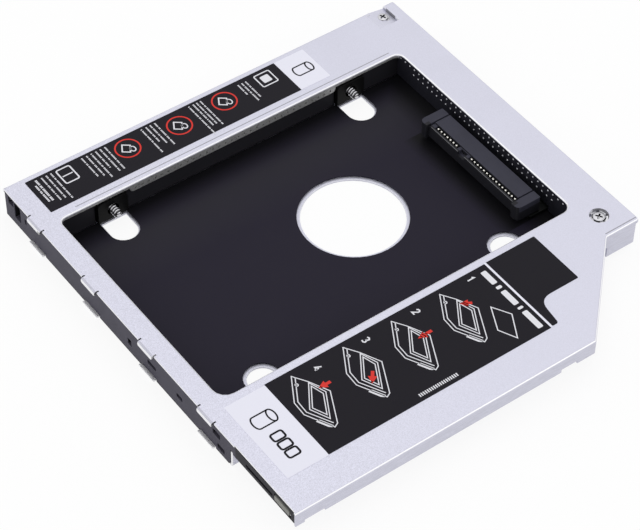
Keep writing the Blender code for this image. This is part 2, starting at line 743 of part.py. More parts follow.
def build_pan():
    """The folded bottom pan with its tongues, openings and standoffs."""
    pan = folded_pan()
    setback = FACE_Y + FOOT_LIP + GAP
    ear = STEP_X - WALL_INSET - SHEET - 2 * GAP
    low = (LEFT + WALL_INSET - EPS, FACE_Y - EPS, -EPS)
    cut(pan, box("front_trim", low, (ear, setback, INNER_TOP + EPS)))
    low = (STEP_X - WALL_INSET, FACE_Y - EPS, WING_BOTTOM - EPS)
    cut(pan, box("wing_front_trim", low, (RIGHT, setback, INNER_TOP + EPS)))
    for number, middle in enumerate(tab_centres()):
        join(pan, pan_tongue(number, middle, setback))
    cut(pan, flat_slab("floor_holes", floor_loops(FLOOR_RIM), -EPS, SHEET + EPS))
    cut(pan, plug_opening("pan_plug_opening", PLUG_CLEAR))
    under = TOP - SEAT_DEPTH - SHEET - GAP
    cut(pan, corner_seat("pan_seat_room", SHEET + GAP, under, TOP, CORNER_SEAT_SLOPE))
    for number, (x, y) in enumerate(board_screw_places()):
        join(pan, turned_at(f"standoff_{number}", STANDOFF_RADIUS, SHEET / 2, BOARD_BOTTOM - GAP, x, y))
        cut(pan, turned_at(f"standoff_hole_{number}", SHANK_RADIUS + GAP, -EPS, BOARD_BOTTOM, x, y))


def turned_at(name, radius, low, high, x, y):
    """A round body standing at a plan position."""
    item = turned(name, [(0.0, high), (radius, high), (radius, low), (0.0, low)], steps=BORE_SIDES)
    item.location.x, item.location.y = x, y
    return item


def host_contact_xs():
    """Middles of the host plug's contacts: signal row, then power row."""
    first = WINDOW_LEFT - PLUG_FROM_WINDOW + PLUG_END + SLOT_MARGIN
    signal = [first + CONTACT_PITCH * i for i in range(HOST_SIGNAL_COUNT)]
    start = signal[-1] + HOST_SEGMENT_STEP
    return signal, [start + HOST_POWER_PITCH * i for i in range(HOST_POWER_COUNT)]


def plug_ends():
    """Left and right ends of the host plug."""
    return WINDOW_LEFT - PLUG_FROM_WINDOW, host_contact_xs()[1][-1] + SLOT_MARGIN + PLUG_END


def plug_opening(name, margin):
    """Block that clears the host plug through the rear walls."""
    left, right = plug_ends()
    low = (left - margin, PLUG_REAR - PLUG_DEPTH - margin, SOLDER_TOP - margin)
    high = (right + margin, REAR + EPS, SOLDER_TOP + PLUG_HEIGHT + margin)
    return box(name, low, high)


def chassis_outline():
    """Plan of the moulded chassis: core of the body and wing with the front face's ears."""
    core = inset(plan_corners(), CORE_INSET)
    ear_y = FACE_Y + FOOT_LIP
    outer = LEFT + WALL_INSET
    return [
        (outer, FACE_Y),
        (RIGHT - WALL_INSET, FACE_Y),
        (RIGHT - WALL_INSET, ear_y),
        (core[1][0], ear_y),
        core[2],
        core[3],
        core[4],
        core[5],
        (core[0][0], ear_y),
        (outer, ear_y),
    ]


def bay_outline():
    """Opening of the chassis: the bay and, behind it, the chamber for the board."""
    chamber_front = WINDOW_REAR + 2 * GAP
    chamber_rear = REAR - CORE_INSET - BACK_BAR
    left = WINDOW_LEFT - BAY_MARGIN
    right = WINDOW_RIGHT + BAY_MARGIN
    return [
        (left, WINDOW_FRONT - BAY_MARGIN),
        (right, WINDOW_FRONT - BAY_MARGIN),
        (right, chamber_front),
        (WINDOW_RIGHT + CHAMBER_RIGHT, chamber_front),
        (WINDOW_RIGHT + CHAMBER_RIGHT, chamber_rear),
        (WINDOW_LEFT - CHAMBER_LEFT, chamber_rear),
        (WINDOW_LEFT - CHAMBER_LEFT, chamber_front),
        (left, chamber_front),
    ]


def face_slots():
    """Slots along the chassis's front face, drawn in X and Z."""
    slots = []
    for x, z, width, height in FACE_SLOTS:
        left, low = LEFT + (x - width / 2) * MM, (z - height / 2) * MM
        corners = rectangle(left, low, left + width * MM, low + height * MM)
        slots.append(fillet(corners, (FACE_SLOT_ROUND,) * 4, 2))
    return slots


def cap_place():
    """Corners of the end cap's face, as X and Z."""
    right = RIGHT - END_CAP_FROM_SIDE
    low = WING_BOTTOM + SHEET + 2 * GAP
    return right - END_CAP_WIDTH, low, right, low + END_CAP_HEIGHT


def build_chassis():
    """The moulded chassis that carries the cover, the board and the locating blocks."""
    loops = [chassis_outline(), bay_outline()]
    chassis = flat_slab("chassis", loops, LINER_BOTTOM, INNER_TOP, PARTS, FRAME_GREY)
    wing_floor = WING_BOTTOM + SHEET + GAP
    under_wing = STEP_X - WALL_INSET - SHEET - GAP
    below = box("under_wing", (under_wing, FRONT - EPS, -EPS), (RIGHT + EPS, REAR - TAIL_LENGTH, wing_floor))
    cut(chassis, below)
    lip_right = STEP_X - WALL_INSET - SHEET - 3 * GAP
    lip_low = (LEFT + WALL_INSET, FACE_Y, 0.0)
    lip_high = (lip_right, FACE_Y + FOOT_LIP, LINER_BOTTOM + EPS)
    join(chassis, box("foot_lip", lip_low, lip_high))
    lip_low = (STEP_X - WALL_INSET + GAP, FACE_Y, WING_BOTTOM)
    lip_high = (RIGHT - WALL_INSET, FACE_Y + FOOT_LIP, wing_floor + EPS)
    join(chassis, box("wing_lip", lip_low, lip_high))
    ear_low = (LEFT + FLAT_CORNER, FACE_Y, 0.0)
    ear_high = (LEFT + WALL_INSET + EPS, FACE_Y + FOOT_LIP, TOP - RIM - GAP)
    join(chassis, box("left_ear", ear_low, ear_high))
    for number, middle in enumerate(tab_centres()):
        half = TONGUE_WIDTH / 2 + GAP
        low = (middle - half, FRONT - EPS, -EPS)
        high = (middle + half, FACE_Y + FOOT_LIP + EPS, LINER_BOTTOM)
        cut(chassis, box(f"tongue_notch_{number}", low, high))
    cut(chassis, front_slab("face_slots", face_slots(), FACE_Y - EPS, FACE_Y + FACE_SLOT_DEPTH))
    slot_x = STEP_X + WING_SLOT_FROM_STEP
    slot_z = TOP - WING_SLOT_DROP
    half = WING_SLOT_HEIGHT / 2
    corners = rectangle(slot_x, slot_z - half, slot_x + WING_SLOT_WIDTH, slot_z + half)
    wing_slot = fillet(corners, (half * ROUND_END,) * 4, 3)
    cut(chassis, front_slab("wing_slot", [wing_slot], FACE_Y - EPS, FACE_Y + FACE_SLOT_DEPTH))
    x0, z0, x1, z1 = cap_place()
    cap_low = (x0 - GAP, FACE_Y - EPS, wing_floor - EPS)
    cap_high = (x1 + GAP, FACE_Y + END_CAP_DEPTH + GAP, z1 + GAP)
    cut(chassis, box("cap_pocket", cap_low, cap_high))
    for number, locator_y in enumerate((FRONT_LOCATOR_Y, REAR_LOCATOR_Y)):
        half = BLOCK_WIDTH / 2 + GAP
        back = WINDOW_LEFT + BLOCK_PROUD - BLOCK_DEPTH - GAP
        low = (back, locator_y - half, -EPS)
        high = (WINDOW_LEFT + EPS, locator_y + half, TOP)
        cut(chassis, box(f"block_notch_{number}", low, high))
    clear_seats(chassis)
    cut(chassis, plug_opening("chassis_plug_opening", PLUG_CLEAR))


def clear_seats(chassis):
    """Lower the chassis under the two screw seats and drill it for the screws."""
    under = TOP - SEAT_DEPTH - SHEET - GAP
    rear_left, rear_right = screw_places()
    radius = SEAT_RADIUS + SHEET + GAP
    cut(chassis, turned_at("round_seat_room", radius, under, TOP, *rear_right))
    cut(chassis, corner_seat("corner_seat_room", SHEET + GAP, under, TOP, CORNER_SEAT_SLOPE))
    for number, (x, y) in enumerate((rear_left, rear_right)):
        low = TOP - SEAT_DEPTH - SHANK_LENGTH - GAP
        cut(chassis, turned_at(f"thread_hole_{number}", SHANK_RADIUS + GAP, low, TOP, x, y))


def build_liner():
    """Insulating film on the bay's floor."""
    sheet = rectangle(
        WINDOW_LEFT - SHEET, WINDOW_FRONT - SHEET, WINDOW_RIGHT + SHEET, WINDOW_REAR + GAP
    )
    return flat_slab("bay_liner", [sheet] + floor_loops(0.0), LINER_BOTTOM, LINER_TOP, PARTS, BLACK_FILM)


def build_end_cap():
    """Grey cap in the wing's front end."""
    x0, z0, x1, z1 = cap_place()
    corners = fillet(rectangle(x0, z0, x1, z1), (GAP,) * 4, 2)
    return front_slab("wing_end_cap", [corners], FACE_Y - SHEET / 2, FACE_Y + END_CAP_DEPTH, PARTS, CAP_GREY)


def build_locators():
    """The two blocks on the bay's left wall, each with its locating screw."""
    front_x = WINDOW_LEFT + BLOCK_PROUD
    back_x = front_x - BLOCK_DEPTH
    low = LINER_TOP + GAP
    for name, y in (("front", FRONT_LOCATOR_Y), ("rear", REAR_LOCATOR_Y)):
        half = BLOCK_WIDTH / 2
        corners = rectangle(y - half, low, y + half, BLOCK_TOP)
        outline = fillet(corners, (0, 0, BLOCK_CHAMFER, BLOCK_CHAMFER), 1)
        bore = ring(y, LOCATOR_HEIGHT, LOCATOR_RADIUS + GAP, SCREW_SIDES)
        side_slab(f"{name}_locating_block", [outline, bore], back_x, front_x, PARTS, BLACK_MOULDING)
        length = front_x + LOCATOR_REACH - back_x - GAP
        screw = turned(f"{name}_locating_screw", [
            (0.0, length),
            (LOCATOR_RADIUS - LOCATOR_TIP, length),
            (LOCATOR_RADIUS, length - LOCATOR_TIP),
            (LOCATOR_RADIUS, 0.0),
            (0.0, 0.0),
        ], PARTS, STEEL, SCREW_SIDES)
        screw.rotation_euler.y = math.pi / 2
        screw.location = (back_x + GAP, y, LOCATOR_HEIGHT)


def hole_row(start, end, height):
    """One row of small holes between two ends, drawn in X and Z."""
    count = int((end - start) / HOLE_PITCH) + 1
    return [ring(start + HOLE_PITCH * i, height, HOLE_RADIUS, HOLE_SIDES) for i in range(count)]


def build_rear_wall():
    """Perforated strip that closes the bay's rear, over the board's tongue."""
    left = WINDOW_LEFT - SHEET
    right = WINDOW_RIGHT + SHEET
    low = LINER_TOP + GAP
    tongue = board_tongue()
    notch_left = tongue[0] - GAP
    notch_right = tongue[1] + GAP
    notch_top = SOLDER_TOP + CONTACT_SHEET + GAP
    outline = [
        (left, low),
        (notch_left, low),
        (notch_left, notch_top),
        (notch_right, notch_top),
        (notch_right, low),
        (right, low),
        (right, INNER_TOP),
        (left, INNER_TOP),
    ]
    upper_z = INNER_TOP - UPPER_ROW_DROP
    lower_z = INNER_TOP - LOWER_ROW_DROP
    upper = hole_row(WINDOW_LEFT + UPPER_ROW_START, WINDOW_RIGHT - HOLE_PITCH, upper_z)
    lower = hole_row(WINDOW_LEFT + LOWER_ROW_START, WINDOW_RIGHT - LOWER_ROW_END, lower_z)
    loops = [outline] + upper + lower
    return front_slab("rear_wall_strip", loops, WINDOW_REAR, WINDOW_REAR + GAP, PARTS, BLACK_MOULDING)


def contact_xs():
    """Middles of the drive receptacle's contacts: signal row, then power row."""
    last = WINDOW_RIGHT - LAST_CONTACT_INSET
    power = [last - CONTACT_PITCH * i for i in range(POWER_COUNT)][::-1]
    last = power[0] - SEGMENT_STEP
    return [last - CONTACT_PITCH * i for i in range(SIGNAL_COUNT)][::-1], power


def receptacle_ends():
    """Left and right ends of the receptacle, over its ears."""
    signal, power = contact_xs()
    reach = EAR_MARGIN + EAR_WIDTH
    return signal[0] - reach, power[-1] + reach - SLOT_MARGIN * 2


def board_tongue():
    """Left and right ends of the board's tongue under the receptacle."""
    left, right = receptacle_ends()
    return left - BOARD_TONGUE_SIDE, right + BOARD_TONGUE_SIDE


def build_receptacle():
    """Receptacle for the drive: body, slot behind a thin lip, and guide ears."""
    signal, power = contact_xs()
    left, right = receptacle_ends()
    face = WINDOW_REAR - BODY_FACE
    back = WINDOW_REAR - BODY_BACK
    lip = face - SLOT_GAP - LIP_WALL
    ear = lip - EAR_REACH
    plan = fillet(
        [
            (left, ear),
            (left + EAR_WIDTH, ear),
            (left + EAR_WIDTH, lip),
            (right - EAR_WIDTH, lip),
            (right - EAR_WIDTH, ear),
            (right, ear),
            (right, back),
            (left, back),
        ],
        (EAR_ROUND, GAP, 0, 0, GAP, EAR_ROUND, GAP, GAP),
        3,
    )
    body = flat_slab("drive_receptacle", [plan], SOLDER_TOP, BODY_TOP, PARTS, CONNECTOR_GREY)
    under = SOLDER_TOP + CONTACT_SHEET + GAP
    inner_left = left + EAR_WIDTH
    inner_right = right - EAR_WIDTH
    cut(body, box("tail_room", (inner_left, ear - EPS, -EPS), (inner_right, back + EPS, under)))
    step = (signal[-1] + power[0]) / 2
    low = (inner_left, lip - EPS, LIP_TOP)
    cut(body, box("lip_trim", low, (inner_right, face, TOP)))
    for name, row in (("signal", signal), ("power", power)):
        low = (row[0] - SLOT_MARGIN, face - SLOT_GAP, -EPS)
        high = (row[-1] + SLOT_MARGIN, face, TOP)
        cut(body, box(f"{name}_slot", low, high))
    key = (step - CONTACT_PITCH, lip - EPS, LIP_TOP - 2 * LIP_WALL)
    cut(body, box("key_notch", key, (step + CONTACT_PITCH, face - GAP, TOP)))
    for name, x in (("left", inner_left), ("right", inner_right - EAR_GROOVE)):
        low = (x, lip - EPS, BODY_TOP - EAR_GROOVE_DEPTH)
        cut(body, box(f"{name}_groove", low, (x + EAR_GROOVE, back + EPS, TOP)))


def strip_outline(path, thickness):
    """Outline of a bent strip from the points along one side of it."""
    other = []
    last = len(path) - 1
    for i, (y, z) in enumerate(path):
        ay, az = path[max(i - 1, 0)]
        by, bz = path[min(i + 1, last)]
        length = math.hypot(by - ay, bz - az)
        other.append((y - (bz - az) / length * thickness, z + (by - ay) / length * thickness))
    return path + other[::-1]


def build_contacts():
    """The receptacle's spring contacts: tail on the board, arm up the slot, bulged tip."""
    front = WINDOW_REAR - BODY_FACE - CONTACT_ROOM
    tail_end = WINDOW_REAR - BODY_BACK + CONTACT_TAIL
    bend = 2 * CONTACT_SHEET
    inside = bend * (1 - math.sqrt(0.5))
    low = SOLDER_TOP
    path = [
        (tail_end, low),
        (front + bend, low),
        (front + inside, low + inside),
        (front, low + bend),
        (front, CONTACT_TIP - 4 * CONTACT_BULGE),
        (front - CONTACT_BULGE, CONTACT_TIP - 2 * CONTACT_BULGE),
        (front, CONTACT_TIP),
    ]
    profile = strip_outline(path[::-1], CONTACT_SHEET)
    signal, power = contact_xs()
    half = CONTACT_WIDTH / 2
    shared = None
    for label, row in (("signal", signal), ("power", power)):
        for number, x in enumerate(row, 1):
            name = f"{label}_contact_{number:02d}"
            if shared is None:
                contact = side_slab(name, [profile], x - half, x + half, PARTS, CONTACT_METAL)
                shared = contact.data
                continue
            contact = bpy.data.objects.new(name, shared)
            PARTS.objects.link(contact)
            contact.rotation_euler = (math.pi / 2, 0.0, math.pi / 2)
            contact.location.x = x


def board_outline():
    """Plan of the adapter board: a bar behind the bay with a tongue under the receptacle."""
    tongue_left, tongue_right = board_tongue()
    left = WINDOW_LEFT - CHAMBER_LEFT + GAP
    right = WINDOW_RIGHT + CHAMBER_RIGHT - GAP
    near = WINDOW_REAR + 3 * GAP
    far = REAR - CORE_INSET - BACK_BAR - GAP
    tip = WINDOW_REAR - BODY_FACE + BOARD_TONGUE_FRONT - SLOT_GAP
    return [
        (left, near),
        (tongue_left, near),
        (tongue_left, tip),
        (tongue_right, tip),
        (tongue_right, near),
        (right, near),
        (right, far),
        (left, far),
    ]


def board_screw_places():
    """Plan positions of the screws that hold the board."""
    outline = board_outline()
    y = (outline[0][1] + outline[6][1]) / 2
    return (
        (outline[0][0] + BOARD_SCREW_FROM_END, y),
        (outline[5][0] - BOARD_SCREW_FROM_END, y),
    )


def build_board():
    """Adapter board and its two screws."""
    places = board_screw_places()
    holes = [ring(x, y, SHANK_RADIUS + GAP, BORE_SIDES) for x, y in places]
    flat_slab("adapter_board", [board_outline()] + holes, BOARD_BOTTOM, BOARD_TOP, PARTS, BOARD_BLACK)
    for name, (x, y) in zip(("left_board_screw", "right_board_screw"), places):
        head = BOARD_TOP + GAP
        build_screw(name, x, y, head, BOARD_HEAD_RADIUS, BOARD_HEAD_HEIGHT, head - GAP)


def build_screw(name, x, y, seat, head_radius, head_height, shank_length):
    """A pan head screw standing in its seat."""
    screw = turned(name, [
        (0.0, seat + head_height),
        (head_radius - HEAD_ROUND, seat + head_height),
        (head_radius, seat + head_height - HEAD_ROUND),
        (head_radius, seat),
        (SHANK_RADIUS, seat),
        (SHANK_RADIUS, seat - shank_length + HEAD_ROUND),
        (SHANK_RADIUS - HEAD_ROUND, seat - shank_length),
        (0.0, seat - shank_length),
    ], PARTS, STEEL, SCREW_SIDES)
    screw.location.x, screw.location.y = x, y


def build_cover_screws():
    """The two screws that hold the cover at its rear corners."""
    seat = TOP - SEAT_DEPTH + GAP
    for name, (x, y) in zip(("rear_left_screw", "rear_right_screw"), screw_places()):
        build_screw(name, x, y, seat, HEAD_RADIUS, HEAD_HEIGHT, SHANK_LENGTH)


def build_host_plug():
    """Plug towards the laptop: a shroud open to the rear around two contact tongues."""
    left, right = plug_ends()
    front = PLUG_REAR - PLUG_DEPTH
    low = SOLDER_TOP
    high = SOLDER_TOP + PLUG_HEIGHT
    plug = box("host_plug", (left, front, low), (right, PLUG_REAR, high), PARTS, BLACK_MOULDING)
    signal, power = host_contact_xs()
    middle = (low + high) / 2
    inner = PLUG_REAR - PLUG_MOUTH
    mouth_low = (left + PLUG_END / 2, inner, low + PLUG_WALL)
    cut(plug, box("plug_mouth", mouth_low, (right - PLUG_END / 2, PLUG_REAR + EPS, high - PLUG_WALL)))
    tip = PLUG_REAR - PLUG_TONGUE_SETBACK
    top = middle + PLUG_TONGUE / 2
    contact_low = top + GAP
    end = tip - GAP
    half = HOST_CONTACT_WIDTH / 2
    for label, row in (("signal", signal), ("power", power)):
        tongue_low = (row[0] - SLOT_MARGIN, inner - EPS, middle - PLUG_TONGUE / 2)
        join(plug, box(f"{label}_tongue", tongue_low, (row[-1] + SLOT_MARGIN, tip, top)))
        for number, x in enumerate(row, 1):
            low_corner = (x - half, end - HOST_CONTACT_LENGTH, contact_low)
            high_corner = (x + half, end, contact_low + HOST_CONTACT_SHEET)
            box(f"host_{label}_contact_{number}", low_corner, high_corner, PARTS, CONTACT_METAL)


build_cover()
build_pan()
build_chassis()
build_liner()
build_end_cap()
build_locators()
build_rear_wall()
build_receptacle()
build_contacts()
build_board()
build_cover_screws()
build_host_plug()
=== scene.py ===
"""Looks of a laptop drive caddy: finishes, labels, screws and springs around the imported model.

Lengths are in metres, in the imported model's own frame: the origin is the middle of the outline on
the resting plane, +X towards the thin wing, +Y towards the host plug and +Z up.
"""

import json
import logging
import math
from dataclasses import dataclass
from enum import Enum
from typing import Any, Callable, Sequence

import bmesh
import bpy
from mathutils import Matrix, Vector

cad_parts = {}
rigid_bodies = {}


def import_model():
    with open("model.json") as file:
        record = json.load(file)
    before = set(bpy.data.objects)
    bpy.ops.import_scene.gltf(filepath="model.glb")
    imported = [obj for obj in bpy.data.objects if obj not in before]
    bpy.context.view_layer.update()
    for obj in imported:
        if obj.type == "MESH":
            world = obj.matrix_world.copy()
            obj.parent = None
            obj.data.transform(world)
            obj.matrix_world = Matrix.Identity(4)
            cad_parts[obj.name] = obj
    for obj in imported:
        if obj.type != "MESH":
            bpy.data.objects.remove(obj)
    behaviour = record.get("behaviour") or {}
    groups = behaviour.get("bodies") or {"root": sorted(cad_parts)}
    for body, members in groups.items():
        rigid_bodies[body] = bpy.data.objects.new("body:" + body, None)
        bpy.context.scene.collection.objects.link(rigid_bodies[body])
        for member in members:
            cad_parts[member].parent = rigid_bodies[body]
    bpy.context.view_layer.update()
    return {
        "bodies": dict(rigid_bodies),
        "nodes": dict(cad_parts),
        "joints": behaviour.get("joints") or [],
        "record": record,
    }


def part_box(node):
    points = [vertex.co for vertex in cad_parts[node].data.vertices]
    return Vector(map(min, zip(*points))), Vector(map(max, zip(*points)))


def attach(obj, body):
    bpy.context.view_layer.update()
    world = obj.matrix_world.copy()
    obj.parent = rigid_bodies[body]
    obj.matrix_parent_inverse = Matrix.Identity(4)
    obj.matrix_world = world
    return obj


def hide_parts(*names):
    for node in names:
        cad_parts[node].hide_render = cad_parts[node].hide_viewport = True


LOG = logging.getLogger("drive_caddy")
MM = 0.001
BODY = "root"
WHITE = (1.0, 1.0, 1.0, 1.0)
SOFT_PATCH = (0.35, 0.65)
MITRE_LEAST = 0.35

Colour = tuple[float, float, float]
Point = tuple[float, float]
Span = tuple[float, float]
Place = tuple[float, float, float]
Path = Sequence[Point]
Points = tuple[Point, ...]
Object = bpy.types.Object
Mesh = bpy.types.Mesh
Shape = bmesh.types.BMesh
Vertex = bmesh.types.BMVert


def mm(*lengths: float) -> tuple[float, ...]:
    """Lengths given in millimetres, in metres."""
    return tuple(length * MM for length in lengths)


def from_screen(red: int, green: int, blue: int) -> Colour:
    """Turn a colour as a screen shows it into the linear colour that a shader takes.

    Args:
        red: red from 0 to 255.
        green: green from 0 to 255.
        blue: blue from 0 to 255.

    Returns:
        The linear colour.
    """

    def linear(level: int) -> float:
        """Undo the screen's curve for one channel."""
        share = level / 255
        return share / 12.92 if share <= 0.04045 else ((share + 0.055) / 1.055) ** 2.4

    return linear(red), linear(green), linear(blue)


def shaded(colour: Colour, factor: float) -> Colour:
    """A colour made darker or paler by a factor."""
    return tuple(min(1.0, channel * factor) for channel in colour)


def maths(operation: str, flipped: bool = False) -> Callable[..., "Value"]:
    """Operator that adds one Math node; where flipped, the value is on its right."""

    def operator(value: "Value", *others: "Value | float") -> "Value":
        """Add the node."""
        operands = (*others, value) if flipped else (value, *others)
        return value.graph.node("ShaderNodeMath", {"operation": operation}, dict(enumerate(operands)))

    return operator


class Value:
    """A number or field in a shader graph; arithmetic on it adds Math nodes."""

    def __init__(self, graph: "Graph", socket: bpy.types.NodeSocket) -> None:
        """Wrap an output socket of the graph."""
        self.graph, self.socket = graph, socket

    __add__, __radd__ = maths("ADD"), maths("ADD", True)
    __sub__, __rsub__ = maths("SUBTRACT"), maths("SUBTRACT", True)
    __mul__, __rmul__ = maths("MULTIPLY"), maths("MULTIPLY", True)
    __gt__, __lt__ = maths("GREATER_THAN"), maths("LESS_THAN")
    __abs__ = maths("ABSOLUTE")


class Graph:
    """The shader graph of a material or of the world."""

    def __init__(self, owner: bpy.types.Material | bpy.types.World) -> None:
        """Start with the owner's default nodes."""
        owner.use_nodes = True
        self.tree = owner.node_tree
        self.shader = self.tree.nodes.get("Principled BSDF")

    def node(
        self,
        kind: str,
        settings: dict[str, Any] | None = None,
        sockets: dict[int | str, Any] | None = None,
        output: int | str = 0,
    ) -> Value:
        """Add any node.

        Args:
            kind: the node's type.
            settings: its settings, set before its sockets.
            sockets: the values or links of its input sockets, by place or name.
            output: the output socket to return.

        Returns:
            The chosen output.
        """
        made = self.tree.nodes.new(kind)
        for key, setting in (settings or {}).items():
            setattr(made, key, setting)
        for key, given in (sockets or {}).items():
            self.feed(made.inputs[key], given)
        return Value(self, made.outputs[output])

    def feed(self, socket: bpy.types.NodeSocket, given: Any) -> None:
        """Link a value to a socket, or set the socket to a constant."""
        if isinstance(given, Value):
            self.tree.links.new(given.socket, socket)
        else:
            socket.default_value = given

    def give(self, sockets: dict[str, Any]) -> None:
        """Feed the shader's sockets by name."""
        for name, given in sockets.items():
            self.feed(self.shader.inputs[name], given)

    def layer(self, colour: Any, share: Any) -> None:
        """Blend a colour over the one that the shader takes so far."""
        tone = Value(self, self.shader.inputs["Base Color"].links[0].from_socket)
        self.give({"Base Color": self.mix(tone, colour, share)})

    def mix(self, first: Any, second: Any, share: Any) -> Value:
        """Blend two colours by a share from 0 to 1."""
        first, second = (c if isinstance(c, Value) else (*c, 1.0) for c in (first, second))
        sockets = {0: share, 6: first, 7: second}
        return self.node("ShaderNodeMix", {"data_type": "RGBA"}, sockets, output=2)

    def place(self) -> Value:
        """Position on the piece, in metres."""
        return self.node("ShaderNodeTexCoord", output="Object")

    def stretched(self, scale: Place) -> Value:
        """Position on the piece with each axis scaled."""
        settings = {"operation": "MULTIPLY"}
        return self.node("ShaderNodeVectorMath", settings, {0: self.place(), 1: scale})

    def along(self, axis: str) -> Value:
        """Position along one axis, in metres."""
        return self.node("ShaderNodeSeparateXYZ", {}, {0: self.place()}, output=axis)

    def facing(self, axis: str) -> Value:
        """How far the surface faces along one axis, from -1 to 1."""
        normal = self.node("ShaderNodeNewGeometry", output="True Normal")
        return self.node("ShaderNodeSeparateXYZ", {}, {0: normal}, output=axis)

    def within(self, value: Value | str, low: float, high: float) -> Value:
        """1 where a value, or the position along a named axis, lies in a range, 0 elsewhere."""
        value = self.along(value) if isinstance(value, str) else value
        return (value > low) * (value < high)

    def most(self, *values: Value) -> Value:
        """The greatest of several values."""
        most = values[0]
        for value in values[1:]:
            most = self.node("ShaderNodeMath", {"operation": "MAXIMUM"}, {0: most, 1: value})
        return most

    def near(self, x: float, y: float, reach: float) -> Value:
        """1 within reach of a point of the plan, 0 elsewhere."""
        across, deep = self.along("X") - x, self.along("Y") - y
        return (across * across + deep * deep) < reach * reach

    def noise(self, pitch: float, detail: float = 2.0, at: Value | None = None) -> Value:
        """Soft noise from 0 to 1.

        Args:
            pitch: size of its features in metres.
            detail: how many finer layers it carries.
            at: where it is read, or the position on the piece.

        Returns:
            The noise.
        """
        sockets = {"Vector": at or self.place(), "Scale": 1 / pitch, "Detail": detail}
        return self.node("ShaderNodeTexNoise", {}, sockets)

    def ramp(self, value: Value, low: float, high: float) -> Value:
        """Stretch a range of the value to 0 to 1, and clamp it."""
        return self.node("ShaderNodeMapRange", {"clamp": True}, {0: value, 1: low, 2: high})


@dataclass(frozen=True)
class Finish:
    """A surface finish: its base values, with its colour as a screen shows it, and its texture."""

    name: str
    screen: tuple[int, int, int]
    roughness: float
    metallic: float = 0.0
    specular: float = 0.5
    slot: str = ""
    swing: float = 0.1
    depth: float = 0.002 * MM
    strength: float = 0.5

    @property
    def colour(self) -> Colour:
        """The colour that the shader takes."""
        return from_screen(*self.screen)

    def material(self) -> bpy.types.Material:
        """Make the finish's material."""
        material = bpy.data.materials.new(self.name)
        graph = Graph(material)
        graph.give({"Base Color": (*self.colour, 1.0), "Roughness": self.roughness})
        graph.give({"Metallic": self.metallic, "Specular IOR Level": self.specular})
        self.vary(graph)
        return material

    def vary(self, graph: Graph) -> None:
        """Add what changes over the surface."""

    def relieve(self, graph: Graph, field: Value, extra: Value | float = 0.0) -> None:
        """Let a field vary the roughness by the swing, and the normal by the depth.

        Args:
            graph: the material's graph.
            field: the field, from 0 to 1.
            extra: what else is added to the roughness.
        """
        sockets = {"Height": field, "Distance": self.depth, "Strength": self.strength}
        normal = graph.node("ShaderNodeBump", {}, sockets)
        roughness = self.roughness + extra + self.swing * (field - 0.5)
        graph.give({"Roughness": roughness, "Normal": normal})


@dataclass(frozen=True)
class SheetMetal(Finish):
    """Zinc coated sheet with a fine speckled grain and faint clouds, and painted highlights on folds and
    cut edges.
    """

    grain: float = 0.2 * MM
    speckle: float = 0.14
    speckle_ramp: Span = (0.3, 0.7)
    coarse: Span = mm(-10, 50)
    coarse_least: float = 0.3
    streak: float = 2.5 * MM
    streak_stretch: float = 9.0
    streak_share: float = 0.8
    cloud: float = 14 * MM
    cloud_swing: float = 0.05
    contrast: float = 0.03
    swing: float = 0.06
    depth: float = 0.004 * MM
    # Painted highlight colour, laid on folds, cut edges, the cover's tabs and the pan's tongues.
    painted_highlight: Colour = (0.94, 0.94, 0.96)
    # Painted shade colour, laid on the cover's tab bends, fold lines and seat walls.
    painted_shade: Colour = (0.2, 0.2, 0.22)
    plate_low: float = 8.95 * MM
    wall_limit: float = 0.25
    fold_highlight_rise: Span = (0.3, 0.93)

    def vary(self, graph: Graph) -> None:
        """Add the grain, the clouds and the painted highlights on the folds and cut edges."""
        grain = graph.noise(self.grain, 1.0)
        cloud = graph.ramp(graph.noise(self.cloud, 3.0), *SOFT_PATCH)
        duller, paler = (shaded(self.colour, 1 + side * self.speckle) for side in (-1, 1))
        clear = graph.mix(shaded(self.colour, 1 - self.contrast), self.colour, cloud)
        graph.give({"Base Color": clear})
        front = graph.ramp(-1 * graph.along("Y"), *self.coarse)
        speckled = graph.mix(duller, paler, graph.ramp(grain, *self.speckle_ramp))
        graph.layer(speckled, self.coarse_least + (1 - self.coarse_least) * front)
        streak = graph.noise(self.streak, 2.0, graph.stretched((1, 1, self.streak_stretch)))
        wall = (graph.facing("Z") < self.wall_limit) * graph.ramp(streak, *SOFT_PATCH)
        graph.layer(duller, self.streak_share * wall)
        self.edge(graph)
        self.relieve(graph, grain, self.cloud_swing * (cloud - 0.5))

    def edge(self, graph: Graph) -> None:
        """Paint highlights on the folds and the cut edges of the plate."""
        rise, limit = graph.facing("Z"), self.wall_limit
        # Painted highlight masks: faces that turn round a fold, and the plate's cut edges.
        fold = graph.within(rise, *self.fold_highlight_rise)
        cut = graph.within(rise, -limit, limit) * (graph.along("Z") > self.plate_low)
        graph.layer(self.painted_highlight, graph.most(fold, cut) * self.folded(graph))

    def folded(self, graph: Graph) -> Value | float:
        """1 where the painted fold highlights are laid."""
        return 1.0


